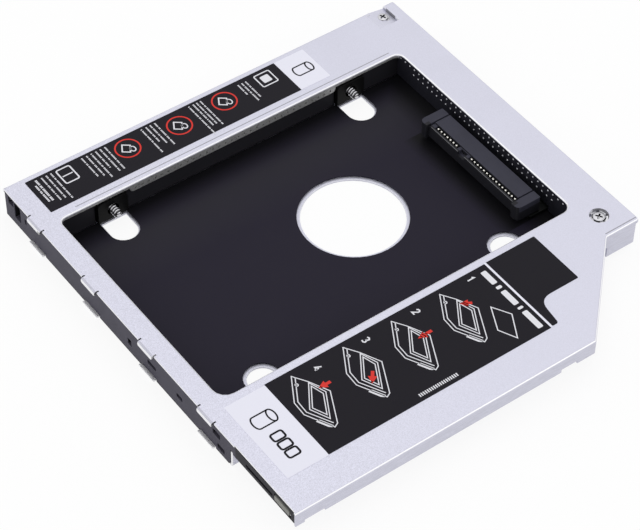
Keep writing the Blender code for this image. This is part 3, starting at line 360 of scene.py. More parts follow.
@dataclass(frozen=True)
class CoverSheet(SheetMetal):
    """The cover's sheet, with painted shade on its seats' walls, slits, fold lines, tab bends and its
    flange in the bay, and painted highlights on its tabs.
    """

    seats: Points = (mm(-60.5, 56.9), mm(32.3, 55.3))
    seat_reach: float = 3.4 * MM
    seat_top: float = 9.46 * MM
    flange: Span = mm(-46.4, -45.3)
    # Painted shade: the flange's grey, darker than the sheet, which the dark flecks speckle.
    bare: Colour = (0.4, 0.4, 0.4)
    pit: Colour = (0.1, 0.1, 0.1)
    bar_end: float = 39.5 * MM
    bar_face: float = -61.6 * MM
    tabs: tuple[float, ...] = mm(-48.3, -22.9, 2.5, 27.9)
    tab_half: float = 3 * MM
    slit: float = 0.42 * MM
    slit_rear: float = -61.72 * MM
    # Black painted shade for the slits beside the tabs.
    black: Colour = (0.02, 0.02, 0.022)
    # Painted shade lines on the plate beside the window's left fold and the rear step's fold.
    shaded_fold_lines: tuple[tuple[float, ...], ...] = (mm(-47.6, -47.32, -51, 49), mm(38.05, 38.36, 52.3, 62.5))
    fleck: float = 0.35 * MM
    fleck_ramp: Span = (0.6, 0.68)
    fleck_share: float = 0.8
    level: float = 0.95
    bend_rise: Span = (0.4, 0.97)
    bend_shade_share: float = 0.3
    tab_highlight_share: float = 0.9
    slit_shade_share: float = 0.9
    fold_line_shade_share: float = 0.75
    seat_shade_share: float = 0.85

    def folded(self, graph: Graph) -> Value:
        """Leave the painted fold highlights off the tabs' bends over the front bar."""
        return 1 - self._bar(graph)

    def _bar(self, graph: Graph) -> Value:
        """1 over the front bar, 0 elsewhere."""
        return (graph.along("X") < self.bar_end) * (graph.along("Y") < self.bar_face)

    def edge(self, graph: Graph) -> None:
        """Paint shade on the seats' walls, the flange, the slits, the fold lines and the tabs' bends, and
        paint highlights on the tabs.
        """
        super().edge(graph)
        rise, high, bar = graph.facing("Z"), graph.along("Z"), self._bar(graph)
        # Painted shade on the tabs' bends over the front bar, and a painted highlight on the tabs' front
        # faces.
        graph.layer(self.painted_shade, self.bend_shade_share * bar * graph.within(rise, *self.bend_rise))
        graph.layer(self.painted_highlight, self.tab_highlight_share * bar * (rise < self.bend_rise[0]))
        # Painted shade: the slits beside the tabs are painted black.
        slit = (graph.along("Y") < self.slit_rear) * self.slit_shade_share
        for middle in self.tabs:
            out = abs(graph.along("X") - middle)
            graph.layer(self.black, slit * graph.within(out, self.tab_half, self.tab_half + self.slit))
        # Painted shade lines beside the folds.
        for left, right, front, rear in self.shaded_fold_lines:
            fold_line_shade = graph.within("X", left, right) * graph.within("Y", front, rear)
            graph.layer(self.painted_shade, self.fold_line_shade_share * fold_line_shade * (rise > self.level))
        # Painted shade on the screw seats' walls that face the front.
        near = sum((graph.near(x, y, self.seat_reach) for x, y in self.seats), 0.0)
        wall = near * (high < self.seat_top) * (rise < self.level) * (graph.facing("Y") < 0.0)
        graph.layer(self.painted_shade, self.seat_shade_share * wall)
        # Painted shade on the flange in the bay: grey, darker than the sheet, with dark flecks.
        fleck = graph.ramp(graph.noise(self.fleck, 1.0), *self.fleck_ramp)
        bare = graph.mix(self.bare, self.pit, self.fleck_share * fleck)
        graph.layer(bare, graph.within("X", *self.flange) * (high < self.plate_low))


@dataclass(frozen=True)
class PanSheet(SheetMetal):
    """The pan's sheet, with painted light on its front tongues, which stand in shade."""

    front: float = -61.9 * MM

    def edge(self, graph: Graph) -> None:
        """Add the painted highlights, and paint light over the tongues."""
        super().edge(graph)
        # Painted light: the tongues take the highlight colour.
        graph.layer(self.painted_highlight, graph.along("Y") < self.front)


@dataclass(frozen=True)
class Moulding(Finish):
    """Moulded plastic with a spark eroded texture."""

    grain: float = 0.12 * MM
    patch: float = 4.8 * MM
    contrast: float = 0.12
    depth: float = 0.008 * MM
    strength: float = 0.6

    def vary(self, graph: Graph) -> None:
        """Add the eroded texture and a slight change of tone."""
        grain = graph.noise(self.grain)
        patch = graph.ramp(graph.noise(self.patch), *SOFT_PATCH)
        darker = shaded(self.colour, 1 - self.contrast)
        graph.give({"Base Color": graph.mix(darker, self.colour, patch)})
        self.relieve(graph, grain)


@dataclass(frozen=True)
class BarMoulding(Moulding):
    """The chassis moulding, with painted shade in its front bar's slots, over the bay, at its foot and on
    the wing.
    """

    slots: Span = mm(-61.9, -60.2)
    # Painted shade colour for the slots, the bay, the foot and the wing.
    bar_shade: Colour = (0.006, 0.006, 0.007)
    foot: float = 0.35 * MM
    wing: float = 39.6 * MM
    wing_rear: float = -55 * MM
    bay_across: Span = mm(-50, 30)
    bay_deep: Span = mm(-58, 52)
    bay_shade_share: float = 0.85
    foot_shade_share: float = 0.7
    wing_shade_share: float = 0.75

    def vary(self, graph: Graph) -> None:
        """Paint shade in the slots, over the bay, at the foot and on the wing."""
        super().vary(graph)
        # Painted shade masks: slots, bay, foot and wing.
        slots = graph.within("Y", *self.slots) * (graph.facing("Z") < 0.9)
        bay = graph.within("X", *self.bay_across) * graph.within("Y", *self.bay_deep)
        wing = (graph.along("X") > self.wing) * (graph.along("Y") < self.wing_rear)
        foot = self.foot_shade_share * (graph.along("Z") < self.foot)
        dark = graph.most(slots, self.bay_shade_share * bay, foot, self.wing_shade_share * wing)
        graph.layer(self.bar_shade, dark)


@dataclass(frozen=True)
class ReceptacleMoulding(Moulding):
    """The receptacle's moulding: grey, with painted shade that makes its front nearly black, and a painted
    highlight along its top front edge.
    """

    lip: float = 42.95 * MM
    lip_span: Span = mm(-21.9, 15.4)
    foot: float = 5.5 * MM
    # Painted shade colour for the front, the lip and the low faces.
    dark: Colour = (0.008, 0.008, 0.01)
    # Painted highlight colour along the top front edge.
    edge_highlight: Colour = (0.12, 0.12, 0.13)
    edge_rear: float = 42.45 * MM
    edge_low: float = 6.68 * MM
    edge_span: Span = mm(-20, 14)
    front_shade_share: float = 0.85

    def vary(self, graph: Graph) -> None:
        """Paint shade on the lip, the faces that look to the front and the low faces, and a highlight along
        the top front edge.
        """
        super().vary(graph)
        # Painted shade on the faces that look to the front, the lip and what lies low.
        front, deep, high = graph.facing("Y") < -0.4, graph.along("Y"), graph.along("Z")
        lip = (deep < self.lip) * graph.within("X", *self.lip_span)
        graph.layer(self.dark, self.front_shade_share * graph.most(front, lip, high < self.foot))
        # Painted highlight along the top front edge.
        edge = (deep < self.edge_rear) * (high > self.edge_low) * graph.within("X", *self.edge_span)
        graph.layer(self.edge_highlight, edge)


@dataclass(frozen=True)
class Film(Finish):
    """Smooth plastic film with shallow waves and dust-fine specks."""

    wave: float = 9 * MM
    speck: float = 0.25 * MM
    speck_gain: float = 0.012
    speck_ramp: Span = (0.72, 0.8)
    swing: float = 0.08
    depth: float = 0.02 * MM
    strength: float = 0.3

    def vary(self, graph: Graph) -> None:
        """Add the waves and the specks."""
        wave = graph.noise(self.wave, 1.0)
        speck = graph.ramp(graph.noise(self.speck, 1.0), *self.speck_ramp)
        paler = tuple(channel + self.speck_gain for channel in self.colour)
        graph.give({"Base Color": graph.mix(self.colour, paler, speck)})
        self.relieve(graph, wave)


@dataclass(frozen=True)
class FloorFilm(Film):
    """The bay's film, with painted shade beside the walls and under the receptacle, and a painted sheen
    beside the left wall's shade.
    """

    # Painted shade colour beside the walls and under the receptacle.
    deep: Colour = (0.0035, 0.0035, 0.004)
    # Painted sheen colour, paler than the film.
    sheen: Colour = (0.026, 0.025, 0.031)
    sheen_rise: Span = mm(-42, -37)
    sheen_fall: Span = mm(-36, -22)
    side: Span = mm(-45, -39)
    back: Span = mm(42.4, 48.4)
    receptacle_span: Span = mm(-24.5, 17.5)
    receptacle_shade: Span = mm(36.5, 40.5)
    sheen_share: float = 0.6
    band_shade_share: float = 0.9

    def vary(self, graph: Graph) -> None:
        """Add the painted shade bands and the painted sheen beside them."""
        super().vary(graph)
        across, deep = graph.along("X"), graph.along("Y")
        # Painted sheen in a band beside the left wall's shade.
        glow = graph.ramp(across, *self.sheen_rise) * (1 - graph.ramp(across, *self.sheen_fall))
        graph.layer(self.sheen, self.sheen_share * glow)
        # Painted shade beside the left and rear walls and under the receptacle's front.
        under = graph.ramp(deep, *self.receptacle_shade) * graph.within(across, *self.receptacle_span)
        shade = graph.most(1 - graph.ramp(across, *self.side), graph.ramp(deep, *self.back), under)
        graph.layer(self.deep, self.band_shade_share * shade)


@dataclass(frozen=True)
class PlatedMetal(Finish):
    """Plated metal with fine turning marks."""

    mark: float = 0.05 * MM

    def vary(self, graph: Graph) -> None:
        """Add the marks."""
        self.relieve(graph, graph.noise(self.mark, 1.0))


@dataclass(frozen=True)
class Finishes:
    """Every finish on the caddy."""

    sheet: Finish = CoverSheet("silver_sheet", (208, 208, 222), 0.42, 0.5, slot="silver_sheet")
    pan: Finish = PanSheet("pan_sheet", (208, 208, 222), 0.42, 0.5, slot="silver_sheet")
    frame: Finish = BarMoulding("frame_grey", (70, 68, 80), 0.6, 0.0, 0.2, "frame_grey")
    liner: Finish = FloorFilm("black_film", (33, 30, 43), 0.5, 0.0, 0.1, "black_film")
    black: Finish = Moulding("black_moulding", (10, 10, 11), 0.55, 0.0, 0.1, "black_moulding")
    connector: Finish = ReceptacleMoulding(
        "connector_grey", (54, 54, 66), 0.6, 0.0, 0.2, "connector_grey"
    )
    contact: Finish = PlatedMetal("contact_metal", (250, 248, 240), 0.3, 0.9, slot="contact_metal")
    steel: Finish = PlatedMetal("steel", (200, 200, 204), 0.3, 1.0, slot="steel")
    # Painted shade for the cover screws' cross recesses and grooves.
    gap: Finish = Moulding("painted_recess_shade", (22, 22, 24), 0.6, 0.0, 0.1)
    # Painted shade for the locating screws' thread roots.
    root: Finish = PlatedMetal("thread_root_shade", (64, 64, 66), 0.5, 0.8)
    strip: Finish = Moulding("rear_strip", (34, 34, 42), 0.55, 0.0, 0.2, "black_moulding")
    dimple: Finish = PlatedMetal("bright_dimple", (214, 214, 222), 0.5, slot="steel")
    board: Finish = Moulding("board", (14, 16, 16), 0.45, 0.0, 0.25, "board")
    cap: Finish = Moulding("cap_grey", (128, 128, 124), 0.5, 0.0, 0.3, "cap_grey")
    label_black: Finish = Film("label_black", (25, 23, 30), 0.45, 0.0, 0.1)
    label_pale: Finish = Film("label_pale", (231, 231, 243), 0.5, 0.0, 0.3)
    white_ink: Finish = Film("white_ink", (226, 226, 232), 0.5, 0.0, 0.2)
    red_ink: Finish = Film("red_ink", (214, 52, 44), 0.5, 0.0, 0.2)
    black_ink: Finish = Film("black_ink", (22, 21, 26), 0.5, 0.0, 0.1)


def add(name: str, data: Any) -> Object:
    """Object of some data, linked into the scene."""
    made = bpy.data.objects.new(name, data)
    bpy.context.scene.collection.objects.link(made)
    return made


class Shop:
    """Makes each material once, dresses pieces with it and sets them on the caddy."""

    def __init__(self) -> None:
        """Start with no material made."""
        self.made: dict[str, bpy.types.Material] = {}

    def material(self, finish: Finish) -> bpy.types.Material:
        """Material of a finish, made on first use."""
        if finish.name not in self.made:
            self.made[finish.name] = finish.material()
        return self.made[finish.name]

    def dress(self, piece: Object, finish: Finish) -> None:
        """Give a piece its only material."""
        piece.data.materials.clear()
        piece.data.materials.append(self.material(finish))
        LOG.info("%s: %s", piece.name, finish.name)

    def deliver(self, name: str, mesh: Mesh, finish: Finish, *nodes: str) -> Object:
        """Set a dressed piece on the caddy.

        Args:
            name: the piece's name.
            mesh: its shape, in metres in the caddy's frame.
            finish: its finish.
            nodes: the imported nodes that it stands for.

        Returns:
            The piece.
        """
        mesh.name = name
        piece = add(name, mesh)
        self.dress(piece, finish)
        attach(piece, BODY)
        if nodes:
            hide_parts(*nodes)
        return piece

    def shade_faces(self, piece: Object, finish: Finish, faces: Sequence[int]) -> None:
        """Give some of a piece's faces a second, darker material, which paints shade on them."""
        piece.data.materials.append(self.material(finish))
        for number in faces:
            piece.data.polygons[number].material_index = 1


def round_off(corners: Path, reaches: Sequence[float], steps: int = 5) -> list[Point]:
    """Polygon with its corners rounded.

    Args:
        corners: the polygon's corners.
        reaches: how far from each corner its rounding starts.
        steps: pieces in each rounding.

    Returns:
        The points of the rounded polygon.
    """
    points = []
    for i, (corner, reach) in enumerate(zip(corners, reaches)):
        here = Vector(corner)
        if reach == 0:
            points.append(corner)
            continue
        before, after = Vector(corners[i - 1]), Vector(corners[(i + 1) % len(corners)])
        start, end = (here + (other - here).normalized() * reach for other in (before, after))
        for step in range(steps + 1):
            t = step / steps
            points.append(tuple(start * (1 - t) ** 2 + here * 2 * t * (1 - t) + end * t**2))
    return points


def arc(middle: Point, radii: Point, ends: Span, steps: int) -> list[Point]:
    """Points of an oval's arc between two turns, which are given in half circles."""
    start, end = (math.pi * turn for turn in ends)
    turns = (start + (end - start) * i / steps for i in range(steps + 1))
    (x, y), (wide, deep) = middle, radii
    return [(x + wide * math.cos(turn), y + deep * math.sin(turn)) for turn in turns]


def oval(x: float, y: float, wide: float, deep: float, sides: int = 28) -> list[Point]:
    """Points of an oval of two radii."""
    return arc((x, y), (wide, deep), (0, 2), sides)[:-1]


def block(left: float, front: float, right: float, rear: float) -> list[Point]:
    """Corners of a rectangle."""
    return [(left, front), (right, front), (right, rear), (left, rear)]


def tablet(sides: Sequence[float], corner: float) -> list[Point]:
    """Rectangle of the four sides that block takes, with its corners rounded."""
    return round_off(block(*sides), (corner,) * 4)


def beside(points: Path, distance: float, closed: bool) -> list[Point]:
    """Path moved sideways, to its left, with mitred corners.

    Args:
        points: the path.
        distance: how far it moves.
        closed: whether its ends meet.

    Returns:
        The moved path.
    """
    moved = []
    last = len(points) - 1
    for i, point in enumerate(points):
        here = Vector(point)
        into = here - Vector(points[i - 1]) if closed or i > 0 else None
        out = Vector(points[(i + 1) % len(points)]) - here if closed or i < last else None
        into = (into or out).normalized()
        out = (out or into).normalized()
        left = Vector((-into.y - out.y, into.x + out.x)).normalized()
        share = max(MITRE_LEAST, left.dot(Vector((-into.y, into.x))))
        moved.append(tuple(here + left * (distance / share)))
    return moved


def loft(shape: Shape, loops: Sequence[Sequence[Any]], capped: bool = True) -> None:
    """Skin closed loops of one length, in their order.

    Args:
        shape: where the faces go.
        loops: vertices, or places that become vertices.
        capped: whether the first and the last loop are filled.
    """
    loops = [
        [spot if isinstance(spot, Vertex) else shape.verts.new(spot) for spot in loop] for loop in loops
    ]
    for near, far in zip(loops, loops[1:]):
        for i in range(len(near)):
            after = (i + 1) % len(near)
            shape.faces.new((near[i], near[after], far[after], far[i]))
    if capped:
        shape.faces.new(loops[0][::-1])
        shape.faces.new(loops[-1])


def to_mesh(shape: Shape, smooth: bool = False, outward: bool = True) -> Mesh:
    """Turn a shape into a mesh and free it.

    Args:
        shape: the shape.
        smooth: whether its faces are shaded smooth.
        outward: whether its faces are turned outward first.

    Returns:
        The mesh.
    """
    mesh = bpy.data.meshes.new("shape")
    if outward:
        bmesh.ops.recalc_face_normals(shape, faces=shape.faces)
    shape.to_mesh(mesh)
    shape.free()
    for face in mesh.polygons:
        face.use_smooth = smooth
    return mesh


def skinned(*loops: Sequence[Sequence[float]], smooth: bool = False) -> Mesh:
    """Mesh of one lofted solid."""
    shape = bmesh.new()
    loft(shape, loops)
    return to_mesh(shape, smooth)


def ease(holder: Object, width: float, angle: float, segments: int = 1) -> bpy.types.Modifier:
    """Bevel an object's edges that are sharper than an angle in degrees."""
    bevel = holder.modifiers.new("ease", "BEVEL")
    bevel.width = width
    bevel.segments = segments
    bevel.limit_method = "ANGLE"
    bevel.angle_limit = math.radians(angle)
    return bevel


def cut(holder: Object, form: Mesh) -> Object:
    """Cut a form out of an object; returns the cutter."""
    cutter = add("cutter", form)
    boolean = holder.modifiers.new("cut", "BOOLEAN")
    boolean.operation = "DIFFERENCE"
    boolean.object = cutter
    return cutter


def baked(holder: Object, *cutters: Object) -> Mesh:
    """Mesh of an object with its modifiers applied; the object and its cutters go."""
    bpy.context.view_layer.update()
    graph = bpy.context.evaluated_depsgraph_get()
    mesh = bpy.data.meshes.new_from_object(holder.evaluated_get(graph))
    mesh.transform(holder.matrix_world)
    for used in (holder, *cutters):
        bpy.data.objects.remove(used, do_unlink=True)
    return mesh


class Relief:
    """Flat marks that stand a little over a face, gathered into one mesh; drawn in millimetres."""

    def __init__(self, low: float, high: float) -> None:
        """Start with no marks, between two heights in metres."""
        self.low, self.high = low, high
        self.shape = bmesh.new()

    def _rise(self, points: Path, height: float) -> list[Vertex]:
        """Vertices of an outline at a height."""
        return [self.shape.verts.new((x * MM, y * MM, height)) for x, y in points]

    def patch(self, outline: Path) -> None:
        """Add a filled mark."""
        loft(self.shape, [self._rise(outline, self.low), self._rise(outline, self.high)])

    def ring(self, outline: Path, width: float) -> None:
        """Add a closed line along an outline."""
        outer, inner = (beside(outline, side, True) for side in (-width / 2, width / 2))
        section = ((outer, self.low), (outer, self.high), (inner, self.high), (inner, self.low))
        rails = [self._rise(*corner) for corner in section]
        loft(self.shape, [*rails, rails[0]], capped=False)

    def line(self, points: Path, width: float) -> None:
        """Add an open line along a path."""
        right, left = (beside(points, side, False) for side in (-width / 2, width / 2))
        self.patch(right + left[::-1])


@dataclass(frozen=True)
class Rows:
    """A block of plain ticks in rows."""

    start: float
    end: float
    places: tuple[float, ...]
    height: float = 0.42
    tick: float = 0.3
    space: float = 0.13
    words: tuple[int, ...] = (4, 2, 6, 3, 5, 2, 7, 3, 4, 1, 5)

    def draw(self, relief: Relief) -> None:
        """Add every tick to a relief."""
        for number, place in enumerate(self.places):
            x = self.start
            word = number * 3
            end = self.end - 1.3 * (number % 3)
            while x < end:
                for _ in range(self.words[word % len(self.words)]):
                    relief.patch(block(x, place - self.height / 2, x + self.tick, place + self.height / 2))
                    x += self.tick + self.space
                x += 2 * self.space
                word += 1


@dataclass(frozen=True)
class Drum:
    """Outline of a plain round drum."""

    left: float
    right: float
    low: float
    high: float
    line: float = 0.42
    flat: float = 0.5
    steps: int = 14

    def draw(self, relief: Relief) -> None:
        """Add the drum's lid and its body to a relief."""
        half = (self.right - self.left) / 2
        deep, middle = half * self.flat, self.left + half
        lid, foot = self.high - deep, self.low + deep
        relief.ring(oval(middle, lid, half, deep), self.line)
        bottom = arc((middle, foot), (half, deep), (1, 2), self.steps)
        relief.line([(self.left, lid), *bottom, (self.right, lid)], self.line)


@dataclass
class Label:
    """Films and ink on the cover's plate; the plate's height is in metres."""

    shop: Shop
    finishes: Finishes
    plate: float
    lift: float = 0.004 * MM
    film: float = 0.05 * MM
    ink: float = 0.014 * MM

    def lay(self, name: str, finish: Finish, *outlines: Path) -> None:
        """Lay a film over some outlines."""
        relief = Relief(self.plate + self.lift, self.plate + self.film)
        for outline in outlines:
            relief.patch(outline)
        self.shop.deliver(name, to_mesh(relief.shape), finish)

    def blank(self) -> Relief:
        """Start a relief for the ink."""
        return Relief(self.plate + self.film + self.lift, self.plate + self.film + self.ink)

    def ink_in(self, name: str, finish: Finish, relief: Relief) -> None:
        """Set a finished relief on the label."""
        self.shop.deliver(name, to_mesh(relief.shape), finish)


@dataclass
class StripLabel(Label):
    """Black strip with a pale end on the cover's left rim, in millimetres from the caddy's middle."""

    left: float = -62.2
    right: float = -49.35
    front: float = -57.0
    change: float = 21.2
    rear: float = 30.8
    corner: float = 0.3
    blocks: tuple[Rows, ...] = (
        Rows(-61.2, -50.6, (-49.8, -51.2, -52.6)),
        Rows(-61.3, -52.5, (-54.3,), 0.6, 0.4),
        Rows(-59.6, -54.3, (-55.3,), 0.5, 0.4),
        Rows(-61.3, -51.6, (-33.3, -34.7, -36.1, -37.5, -38.9, -40.4)),
        Rows(-61.3, -52.0, (-17.8, -19.2, -20.5, -22.0)),
        Rows(-61.3, -50.6, (-3.3, -4.5, -5.6, -7.0)),
        Rows(-60.6, -54.0, (10.8, 9.6, 8.4)),
    )
    circles: Points = ((-57.5, -28.6), (-56.8, -12.9), (-57.6, 1.95))
    circle_radius: float = 3.35
    circle_line: float = 0.42
    circle_sides: int = 40
    leaf_line: float = 0.36
    leaf: Points = ((-1.9, -0.6), (0.3, -1.9), (1.6, -0.2), (-0.6, 1.1))
    bud: tuple[float, ...] = (0.9, 1.0, 0.95, 0.7)
    bud_line: float = 0.32
    bud_sides: int = 16
    plaque: tuple[float, ...] = (-61.1, -48.4, -55.7, -44.4)
    plaque_corner: float = 0.6
    plaque_line: float = 0.4
    spine: tuple[Point, Point] = ((-58.4, -47.9), (-58.4, -44.9))
    spine_line: float = 0.35
    tile: tuple[float, ...] = (-60.85, 13.6, -55.95, 18.4)
    tile_core: tuple[float, ...] = (-59.75, 14.7, -57.05, 17.3)
    tile_line: float = 0.36
    tile_corner: float = 0.5
    core_corner: float = 0.4
    drum: Drum = Drum(-57.5, -54.0, 23.5, 29.3)

    def build(self) -> None:
        """Lay the films and print them."""
        corners = (self.corner, self.corner, 0, 0)
        film = block(self.left, self.front, self.right, self.change)
        panel = block(self.left, self.change, self.right, self.rear)
        self.lay("strip_label_film", self.finishes.label_black, round_off(film, corners))
        self.lay("strip_label_panel", self.finishes.label_pale, round_off(panel, corners[::-1]))
        self._print_white()
        red = self.blank()
        radii = (self.circle_radius, self.circle_radius)
        for x, y in self.circles:
            red.ring(oval(x, y, *radii, self.circle_sides), self.circle_line)
        self.ink_in("strip_label_red_print", self.finishes.red_ink, red)
        drum = self.blank()
        self.drum.draw(drum)
        self.ink_in("strip_label_drum", self.finishes.black_ink, drum)

    def _print_white(self) -> None:
        """Print the rows and the pale shapes."""
        white = self.blank()
        for rows in self.blocks:
            rows.draw(white)
        white.ring(tablet(self.plaque, self.plaque_corner), self.plaque_line)
        white.line(self.spine, self.spine_line)
        for x, y in self.circles:
            across, deep, wide, high = self.bud
            white.ring([(x + px, y + py) for px, py in self.leaf], self.leaf_line)
            white.ring(oval(x + across, y + deep, wide, high, self.bud_sides), self.bud_line)
        white.ring(tablet(self.tile, self.tile_corner), self.tile_line)
        white.patch(tablet(self.tile_core, self.core_corner))
        self.ink_in("strip_label_white_print", self.finishes.white_ink, white)


@dataclass(frozen=True)
class PlateSketch:
    """Line drawing of a plain plate seen at an angle, placed by its left corner."""

    x: float
    y: float
    line: float = 0.26
    edge: Points = (
        (0, 0), (7.1, -4.2), (11.3, -4.4), (18.5, -0.7), (17.9, 0.5), (9.0, 4.9), (3.6, 2.3)
    )
    rim: Points = ((0.9, 0.5), (7.3, -3.3), (11.0, -3.5), (17.3, -0.2))
    window: Points = ((4.0, 2.2), (10.8, -2.4), (15.8, -0.1), (8.6, 3.9))
    floor: Points = ((5.2, 2.1), (10.8, -1.6), (14.4, 0.0), (8.7, 3.1))
    foot: Points = ((14.6, -3.4), (17.6, -1.9), (18.2, -1.2), (17.9, -0.6), (14.6, -2.3))

    def _at(self, points: Path) -> list[Point]:
        """Points moved to the sketch's place."""
        return [(self.x + x, self.y + y) for x, y in points]

    def draw(self, relief: Relief) -> None:
        """Add the sketch to a relief."""
        for outline in (self.edge, self.window, self.floor):
            relief.ring(self._at(outline), self.line)
        relief.line(self._at(self.rim), self.line)
        relief.patch(self._at(self.foot))
        relief.ring(oval(self.x + 2.9, self.y - 0.5, 0.42, 0.36, 12), self.line)


class Numeral(Enum):
    """Strokes of the plain numerals, on a grid one wide and two high."""

    ONE = (((0.15, 1.55), (0.6, 2.0), (0.6, 0.0)),)
    TWO = (((0.0, 1.5), (0.2, 1.9), (0.6, 2.0), (0.95, 1.75), (0.9, 1.3), (0.0, 0.1), (1.0, 0.1)),)
    THREE = (
        ((0.0, 1.8), (0.5, 2.0), (0.95, 1.7), (0.85, 1.25), (0.4, 1.05)),
        ((0.4, 1.05), (0.9, 0.85), (1.0, 0.4), (0.6, 0.05), (0.0, 0.15)),
    )
    FOUR = (((1.0, 0.55), (0.0, 0.55), (0.7, 2.0)), ((0.72, 1.2), (0.72, 0.0)))


@dataclass
class StepsLabel(Label):
    """Wide label on the wing, in millimetres from the caddy's middle."""

    left: float = 28.5
    right: float = 54.4
    change: float = -46.1
    head: float = 20.95
    panel: tuple[float, ...] = (28.75, -57.9, 54.55, -46.1)
    panel_corner: float = 0.3
    stripe: tuple[float, ...] = (28.3, 20.95, 54.2, 21.55)
    tail: Points = (
        (28.3, 21.55), (54.2, 21.55), (54.1, 23.45), (45.6, 24.55), (45.6, 37.1), (28.3, 37.1)
    )
    tail_corners: tuple[float, ...] = (0, 0.5, 0.6, 3.6, 0.4, 0.4)
    bars: Points = ((30.3, 35.2), (36.2, 37.2), (38.2, 43.6), (44.6, 45.4), (46.4, 52.9))
    bar_front: float = 18.2
    bar_rear: float = 19.8
    bar_corner: float = 0.4
    numerals: Points = ((30.0, 14.0), (30.7, -3.6), (30.8, -19.0), (31.2, -33.7))
    numeral_line: float = 0.38
    sketches: Points = ((30.05, 5.63), (30.14, -9.41), (30.04, -23.94), (30.18, -39.38))
    loose_line: float = 0.28
    loose_plate: Points = ((40.63, 13.24), (47.49, 9.87), (52.19, 12.17), (45.41, 15.97))
    arrows: tuple[tuple[Point, Point], ...] = (
        ((36.9, 10.4), (35.2, 7.6)),
        ((38.2, -3.2), (38.3, -7.5)),
        ((40.1, -22.6), (43.2, -25.0)),
        ((36.9, -32.7), (36.9, -36.3)),
    )
    arrow_line: float = 0.85
    arrow_head: float = 1.15
    ticks_left: float = 52.2
    ticks_right: float = 53.2
    ticks_start: float = -18.25
    ticks_end: float = -7.0
    tick: float = 0.34
    tick_pitch: float = 0.62
    drum: Drum = Drum(35.1, 39.1, -55.4, -49.0)
    frames: tuple[float, ...] = (41.6, -54.1, 50.4, -50.8)
    frame_gap: float = 0.3
    frame_line: float = 0.55
    frame_corner: float = 0.7

    def build(self) -> None:
        """Lay the films and print them."""
        self._lay_films()
        self._print_white()
        red = self.blank()
        for start, end in self.arrows:
            red.patch(self._arrow(Vector(start), Vector(end)))
        self.ink_in("steps_label_red_print", self.finishes.red_ink, red)
        self._print_black()

    def _lay_films(self) -> None:
        """Lay the black films, the pale panel and the pale line between them."""
        body = block(self.left, self.change, self.right, self.head)
        tail = round_off(self.tail, self.tail_corners, 8)
        self.lay("steps_label_film", self.finishes.label_black, body, tail)
        panel = round_off(block(*self.panel), (self.panel_corner, self.panel_corner, 0, 0))
        self.lay("steps_label_panel", self.finishes.label_pale, panel, block(*self.stripe))

    def _print_white(self) -> None:
        """Print the bars, numerals, sketches and ticks."""
        white = self.blank()
        for left, right in self.bars:
            white.patch(tablet((left, self.bar_front, right, self.bar_rear), self.bar_corner))
        for (x, y), numeral in zip(self.numerals, Numeral):
            for stroke in numeral.value:
                white.line([(x + across, y + up) for across, up in stroke], self.numeral_line)
        for place in self.sketches:
            PlateSketch(*place).draw(white)
        white.ring(self.loose_plate, self.loose_line)
        y = self.ticks_start
        while y < self.ticks_end:
            white.patch(block(self.ticks_left, y, self.ticks_right, y + self.tick))
            y += self.tick_pitch
        self.ink_in("steps_label_white_print", self.finishes.white_ink, white)

    def _arrow(self, tail: Vector, tip: Vector) -> list[Point]:
        """Outline of an arrow."""
        along = (tip - tail).normalized()
        across = Vector((-along.y, along.x))
        neck = tip - along * 2 * self.arrow_head
        half, wide = across * self.arrow_line / 2, across * self.arrow_head
        right, left = [tail - half, neck - half, neck - wide], [neck + wide, neck + half, tail + half]
        return [tuple(point) for point in (*right, tip, *left)]

    def _print_black(self) -> None:
        """Print the drum and three plain frames on the pale panel."""
        black = self.blank()
        self.drum.draw(black)
        left, front, right, rear = self.frames
        pitch = (right - left) / 3
        for number in range(3):
            start = left + pitch * number
            frame = (start + self.frame_gap, front, start + pitch - self.frame_gap, rear)
            black.ring(tablet(frame, self.frame_corner), self.frame_line)
        self.ink_in("steps_label_black_print", self.finishes.black_ink, black)


@dataclass(frozen=True)
class SetBack:
    """How a sheet's front edge is drawn further back, except at its tabs."""

    limit: float = -62.3 * MM
    distance: float = 0.6 * MM
    tabs: tuple[float, ...] = CoverSheet.tabs
    tab_half: float = 3.1 * MM

    def apply(self, shape: Shape) -> None:
        """Move the edge's vertices."""
        for vertex in shape.verts:
            kept = any(abs(vertex.co.x - middle) < self.tab_half for middle in self.tabs)
            if vertex.co.y < self.limit and not kept:
                vertex.co.y += self.distance


@dataclass
class EasedNode:
    """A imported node's form with its sharp edges eased, so that they catch the light."""

    node: str
    name: str
    finish: Finish
    width: float
    opened: tuple[tuple[Vector, Vector], ...] = ()
    set_back: SetBack | None = None
    steps: int = 2
    sharp: float = 32.0
    weld: float = 0.002 * MM
    flat: float = math.radians(0.8)

    def build(self, shop: Shop, nodes: dict[str, Object]) -> None:
        """Ease a copy of the node's mesh and let it stand for the node."""
        shape = bmesh.new()
        shape.from_mesh(nodes[self.node].data)
        bmesh.ops.remove_doubles(shape, verts=shape.verts, dist=self.weld)
        bmesh.ops.dissolve_limit(shape, angle_limit=self.flat, verts=shape.verts, edges=shape.edges)
        if self.set_back:
            self.set_back.apply(shape)
        holder = add(self.name, to_mesh(shape, smooth=True, outward=False))
        cutters = [cut(holder, self._box(*corners)) for corners in self.opened]
        ease(holder, self.width, self.sharp, self.steps).harden_normals = True
        holder.modifiers.new("weigh", "WEIGHTED_NORMAL").weight = 80
        shop.deliver(self.name, baked(holder, *cutters), self.finish, self.node)

    @staticmethod
    def _box(low: Vector, high: Vector) -> Mesh:
        """Box between two corners."""
        plan = block(low.x, low.y, high.x, high.y)
        return skinned(*([(x, y, z) for x, y in plan] for z in (low.z, high.z)))


